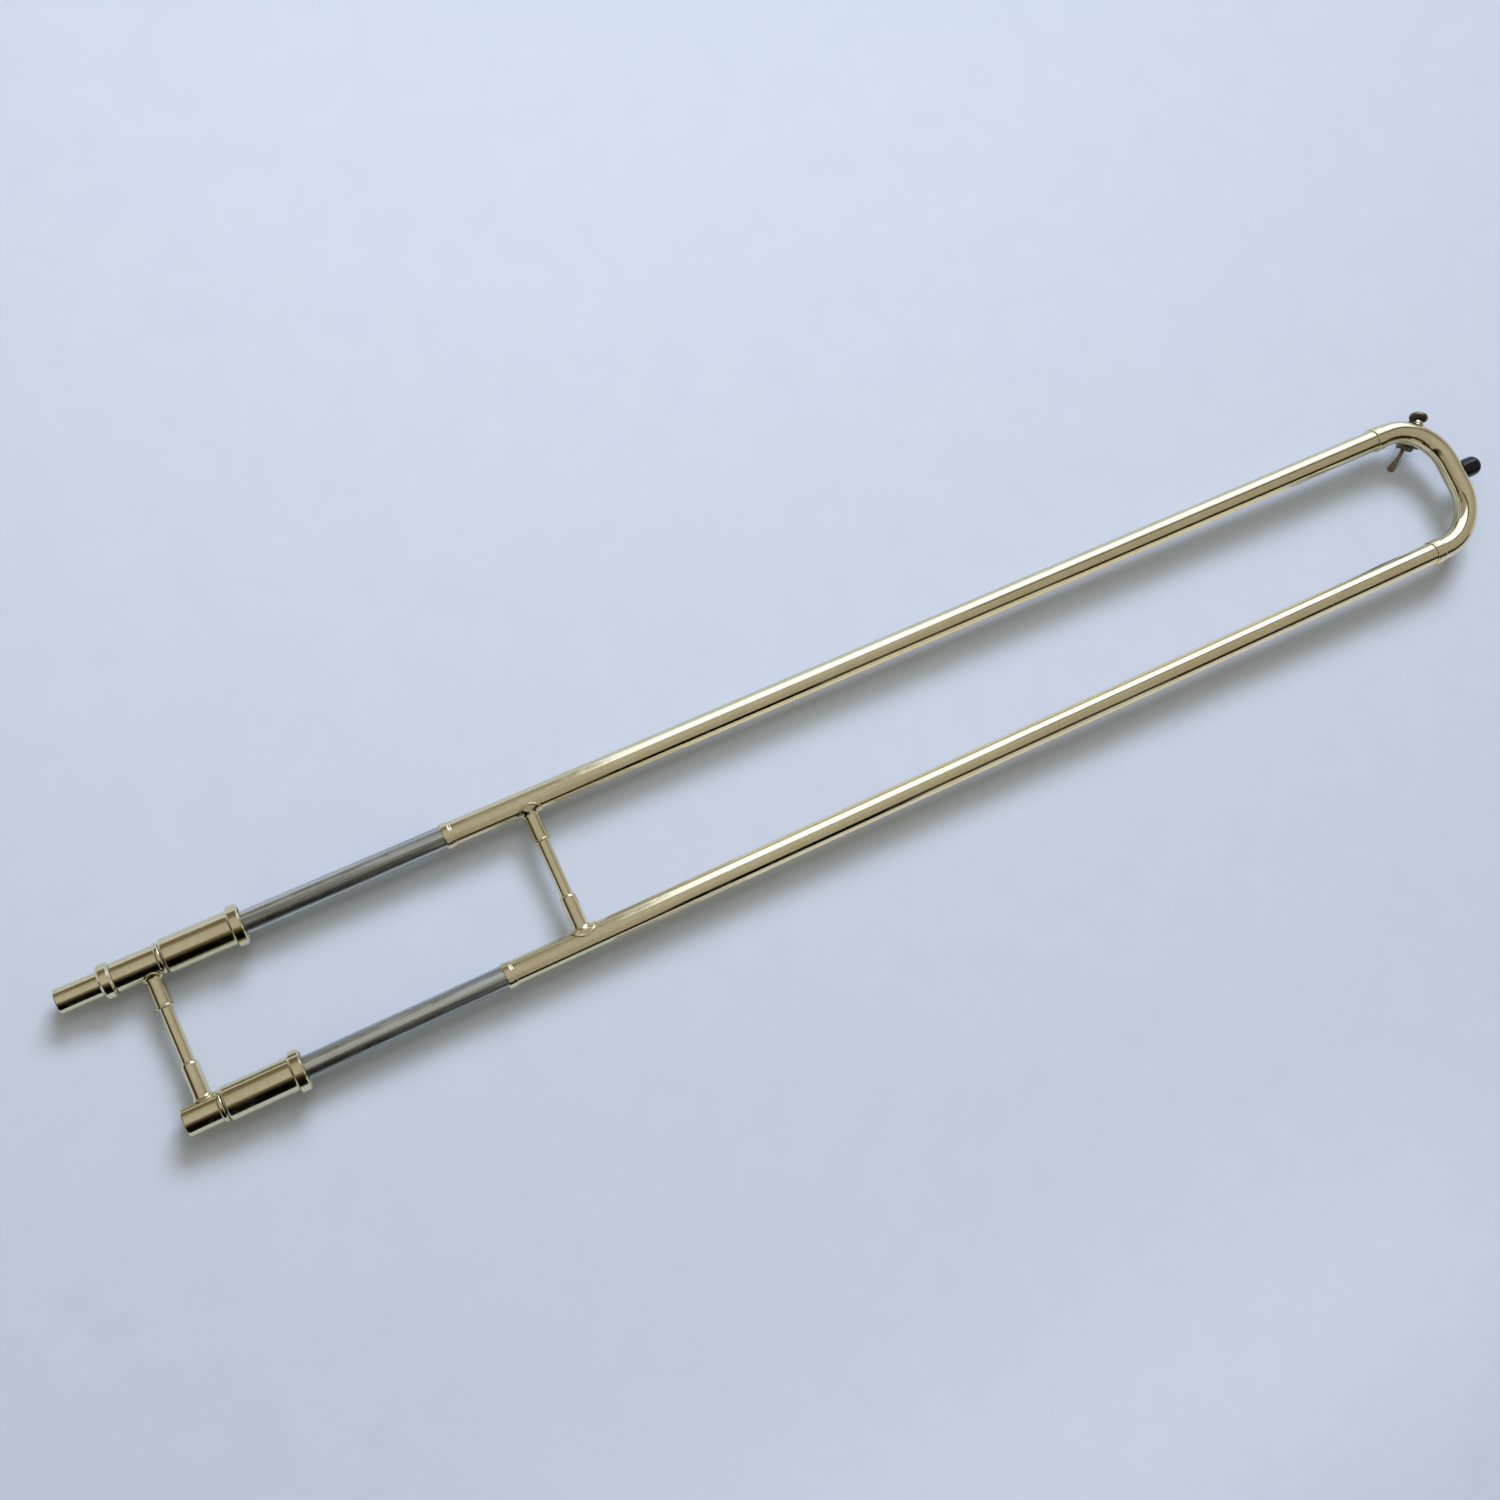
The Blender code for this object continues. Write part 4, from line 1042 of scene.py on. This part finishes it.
path = [(on_coil(first) - along_coil(first) * s, v_start)
        for s in (6.5, 5.0, 3.5, 2.2, 1.0)]
total = int(turns * 36)
for i in range(total + 1):
    b = first + (last - first) * i / total
    path.append((on_coil(b), v_start + pitch * turns * i / total))
for s in (0.7, 1.3, 2.4, 3.8, 5.0):
    f = max(0.0, (s - 1.3) / 3.7)
    path.append((on_coil(last) + along_coil(last) * s,
                 v_end + (v_arm - v_end) * f))
points = [Vector((p.x, v, p.y)) for p, v in path]
rings = []
for i, point in enumerate(points):
    d = (points[min(i + 1, len(points) - 1)]
         - points[max(i - 1, 0)]).normalized()
    e1 = Vector((0, 1, 0))
    e1 = (e1 - d * e1.dot(d)).normalized()
    e2 = d.cross(e1)
    for scale in ((0.55, 0.85, 1.0) if i == 0 else
                  (1.0, 0.85, 0.55) if i == len(points) - 1 else (1.0,)):
        push = (scale - 1.0) * 0.35 * wire * (-1 if i else 1)
        rings.append([point + d * (push if i == 0 else -push)
                      + e1 * (wire * scale * math.cos(2 * math.pi * k / 12))
                      + e2 * (wire * scale * math.sin(2 * math.pi * k / 12))
                      for k in range(12)])
piece("water_key_spring", skin(rings, capped=True), KEY,
      steel("steel_spring", 3), sharp=70)


# ============================================================ floor and light
def stage_object(name, verts, faces, mat):
    mesh = bpy.data.meshes.new(name)
    mesh.from_pydata(verts, [], faces)
    mesh.materials.append(mat)
    obj = bpy.data.objects.new(name, mesh)
    bpy.context.scene.collection.objects.link(obj)
    return obj


# The object rests on its two barrel rings and on the tip of its water key, so
# the table lies half a degree off the plane of the tubes.
ring_low = Z0 - 11.30
slope = ring_low / (759.5 + 0.75)


def table_z(x):
    return ring_low - 0.03 - (x + 0.75) * slope


floor_look = Look("floor_pale")
mottle = floor_look.noise(floor_look.space(), 34, 5, 0.6)
tone = floor_look.mix(floor_look.ramp(mottle, (0.35, 0.0), (0.68, 1.0)),
                      (0.590, 0.655, 0.775), (0.604, 0.670, 0.790))
floor_look.set(Base_Color=tone,
               Roughness=floor_look.calc("ADD", 0.42, floor_look.calc(
                   "MULTIPLY", mottle, 0.12)),
               Specular_IOR_Level=0.0,
               Normal=floor_look.bump(floor_look.noise(
                   floor_look.space(), 800, 4, 0.6), 4.0e-6))
R = 12000.0
stage_object("table", [at(x, y, table_z(x) - Z0) for x, y in
                       ((-R, -R), (R, -R), (R, R), (-R, R))],
             [(0, 1, 2, 3)], floor_look.mat)


# dark studio flags: a tall one beyond the near side, and a small one above
def flag(name, strips):
    """A flag of strips, each a quad with its own grey level."""
    for k, (corners, level) in enumerate(strips):
        look = Look(name + "_look_%d" % k)
        tone = tuple(level * c for c in ((1.0, 0.93, 0.85) if level > 0.32
                                         else (1.0, 0.80, 0.58)))
        look.set(Base_Color=(0.0, 0.0, 0.0), Roughness=1.0,
                 Specular_IOR_Level=0.0, Emission_Color=tone,
                 Emission_Strength=1.0)
        obj = stage_object(name + "_%d" % k, [at(*c) for c in corners],
                           [(0, 1, 2, 3)], look.mat)
        obj.visible_camera = False
        obj.visible_diffuse = False
        obj.visible_shadow = False
        obj.visible_transmission = False


def upright(x0, x1, y, z0, z1):
    return ((x0, y, z0), (x1, y, z0), (x1, y, z1), (x0, y, z1))


flag("flag_near", [(upright(-800, 140, -520, 12, 640), 0.0),
                   (upright(-800, 135, -520, 640, 900), 0.035),
                   (upright(-800, 130, -520, 900, 1250), 0.10),
                   (upright(-800, 120, -520, 1250, 2000), 0.20),
                   (upright(140, 300, -520, 12, 215), 0.01),
                   (upright(300, 540, -520, 12, 330), 0.0),
                   (upright(540, 800, -520, 110, 380), 0.05),
                   (upright(800, 1800, -520, 40, 320), 0.02)])
flag("flag_far", [(upright(-800, 170, 620, 170, 420), 0.17),
                  (upright(-800, 150, 620, 420, 640), 0.26)])
flag("flag_end", [(((-760, -900, 120), (-760, 900, 120), (-760, 900, 620),
                    (-760, -900, 620)), 0.045),
                  (((-760, -900, 0), (-760, 900, 0), (-760, 900, 120),
                    (-760, -900, 120)), 0.30)])
flag("flag_top", [(((-30, -110, 880), (130, -110, 880), (130, -25, 880),
                    (-30, -25, 880)), 0.16)])
flag("flag_over", [(((560, 82, 273), (1200, 82, 273), (1200, 128, 273),
                     (560, 128, 273)), 0.10)])
# pale strips that glow just above the table beside the outer tubes and show
# only in the metal: a painted reflection of a lit table edge
for number, axis in enumerate((40.5, -40.5)):
    end = 690 if number == 0 else 790
    parts = []
    for x0, x1, level in ((175, 200, 0.34), (200, 225, 0.46),
                          (225, 255, 0.60), (255, end, 0.78)):
        z0 = table_z(x0) - Z0 + 0.8
        z1 = table_z(x1) - Z0 + 0.8
        parts.append((((x0, axis - 60, z0), (x1, axis - 60, z1),
                       (x1, axis - 13, z1), (x0, axis - 13, z0)), level))
    flag("strip_%d" % number, parts)
# a dim card that glows just above the table inside the crook and shows only in
# the metal: a painted reflection of shade on the table there
low = table_z(726) - Z0 + 1.2
flag("crook_shade_patch", [(((714, -28, low), (738, -28, low), (738, 10, low),
                     (714, 10, low)), 0.15)])

world = bpy.data.worlds.new("studio")
bpy.context.scene.world = world
world.use_nodes = True
tree = world.node_tree
back = tree.nodes["Background"]
coord = tree.nodes.new("ShaderNodeTexCoord").outputs["Generated"]
split = tree.nodes.new("ShaderNodeSeparateXYZ")
tree.links.new(coord, split.inputs[0])


def sky(stops):
    made = tree.nodes.new("ShaderNodeValToRGB")
    tree.links.new(split.outputs["Z"], made.inputs["Fac"])
    bar = made.color_ramp
    while len(bar.elements) < len(stops):
        bar.elements.new(0.5)
    for element, (pos, colour) in zip(bar.elements, stops):
        element.position = pos
        element.color = (*colour, 1.0)
    return made.outputs["Color"]


# the room as it looks from the near side and from the far side
near = sky([(0.0, (0.92, 0.90, 0.88)), (0.10, (0.60, 0.56, 0.50)),
            (0.45, (0.42, 0.38, 0.33)), (0.88, (0.45, 0.42, 0.37)),
            (0.97, (0.55, 0.52, 0.48)), (1.0, (0.55, 0.52, 0.49))])
far = sky([(0.0, (0.95, 0.95, 0.96)), (0.09, (0.72, 0.70, 0.67)),
           (0.20, (0.36, 0.33, 0.29)), (0.55, (0.36, 0.33, 0.29)),
           (0.84, (0.50, 0.47, 0.43)), (0.97, (0.55, 0.52, 0.48)),
           (1.0, (0.55, 0.52, 0.49))])
side = tree.nodes.new("ShaderNodeMapRange")
side.inputs["From Min"].default_value = -0.10
side.inputs["From Max"].default_value = 0.10
tree.links.new(split.outputs["Y"], side.inputs["Value"])
blend = tree.nodes.new("ShaderNodeMix")
blend.data_type = "RGBA"
tree.links.new(side.outputs[0], blend.inputs[0])
tree.links.new(near, blend.inputs[6])
tree.links.new(far, blend.inputs[7])
# the table's fill light is plain; the metal mirrors the room
path = tree.nodes.new("ShaderNodeLightPath")
fill = tree.nodes.new("ShaderNodeMix")
fill.data_type = "RGBA"
tree.links.new(path.outputs["Is Glossy Ray"], fill.inputs[0])
fill.inputs[6].default_value = (0.365, 0.335, 0.265, 1.0)
tree.links.new(blend.outputs[2], fill.inputs[7])
tree.links.new(fill.outputs[2], back.inputs["Color"])
back.inputs["Strength"].default_value = 0.95


def area(name, place, target, size, energy, colour, glossy, diffuse):
    light = bpy.data.lights.new(name, "AREA")
    light.shape = "RECTANGLE"
    light.size, light.size_y = size
    light.energy = energy
    light.color = colour
    lamp = bpy.data.objects.new(name, light)
    bpy.context.scene.collection.objects.link(lamp)
    lamp.location = at(*place)
    aim = (at(*target) - lamp.location).normalized()
    lamp.rotation_euler = aim.to_track_quat("-Z", "Y").to_euler()
    lamp.visible_glossy = glossy
    lamp.visible_diffuse = diffuse
    lamp.visible_camera = False
    return lamp


# the window: its mirror image in the metal, and its light on the table
area("window_seen", (1850, 1400, 960), (1850, 0, 0), (2.7, 1.68), 21.0,
     (0.68, 0.77, 1.0), True, False)
area("window_core", (1880, 1390, 1090), (1880, 0, 0), (2.5, 0.44), 10.0,
     (0.86, 0.92, 1.0), True, False)
area("window_light", (3300, 4300, 4000), (380, 0, 0), (3.6, 2.0), 415.0,
     (0.84, 0.875, 1.0), False, True)
# two small lamps even out the table towards its far and near edges
area("lamp_far", (300, 450, 900), (300, 450, 0), (0.7, 0.5), 2.3,
     (0.97, 1.0, 1.0), False, True)
area("lamp_near", (165, -420, 120), (165, -420, 0), (0.9, 0.06), 0.11,
     (0.86, 0.93, 1.0), False, True)

camera = bpy.data.cameras.new("camera")
camera.lens = 37.49
camera.sensor_width = camera.sensor_height = 36.0
camera.sensor_fit = "HORIZONTAL"
camera.clip_start, camera.clip_end = 0.05, 60.0
eye = bpy.data.objects.new("camera", camera)
bpy.context.scene.collection.objects.link(eye)
right = Vector((0.885, -0.4217, 0.1989)).normalized()
ahead = Vector((0.2625, 0.0980, -0.9603))
ahead = (ahead - right * ahead.dot(right)).normalized()
up = right.cross(ahead)
pose = Matrix((right, up, -ahead)).transposed().to_4x4()
eye.matrix_world = Matrix.Translation(at(54.0, -67.8, 840.2)) @ pose
bpy.context.scene.camera = eye

view = bpy.context.scene.view_settings
view.view_transform = "Standard"
view.look = "None"
view.exposure = 0.0
view.gamma = 1.0

bpy.context.view_layer.update()
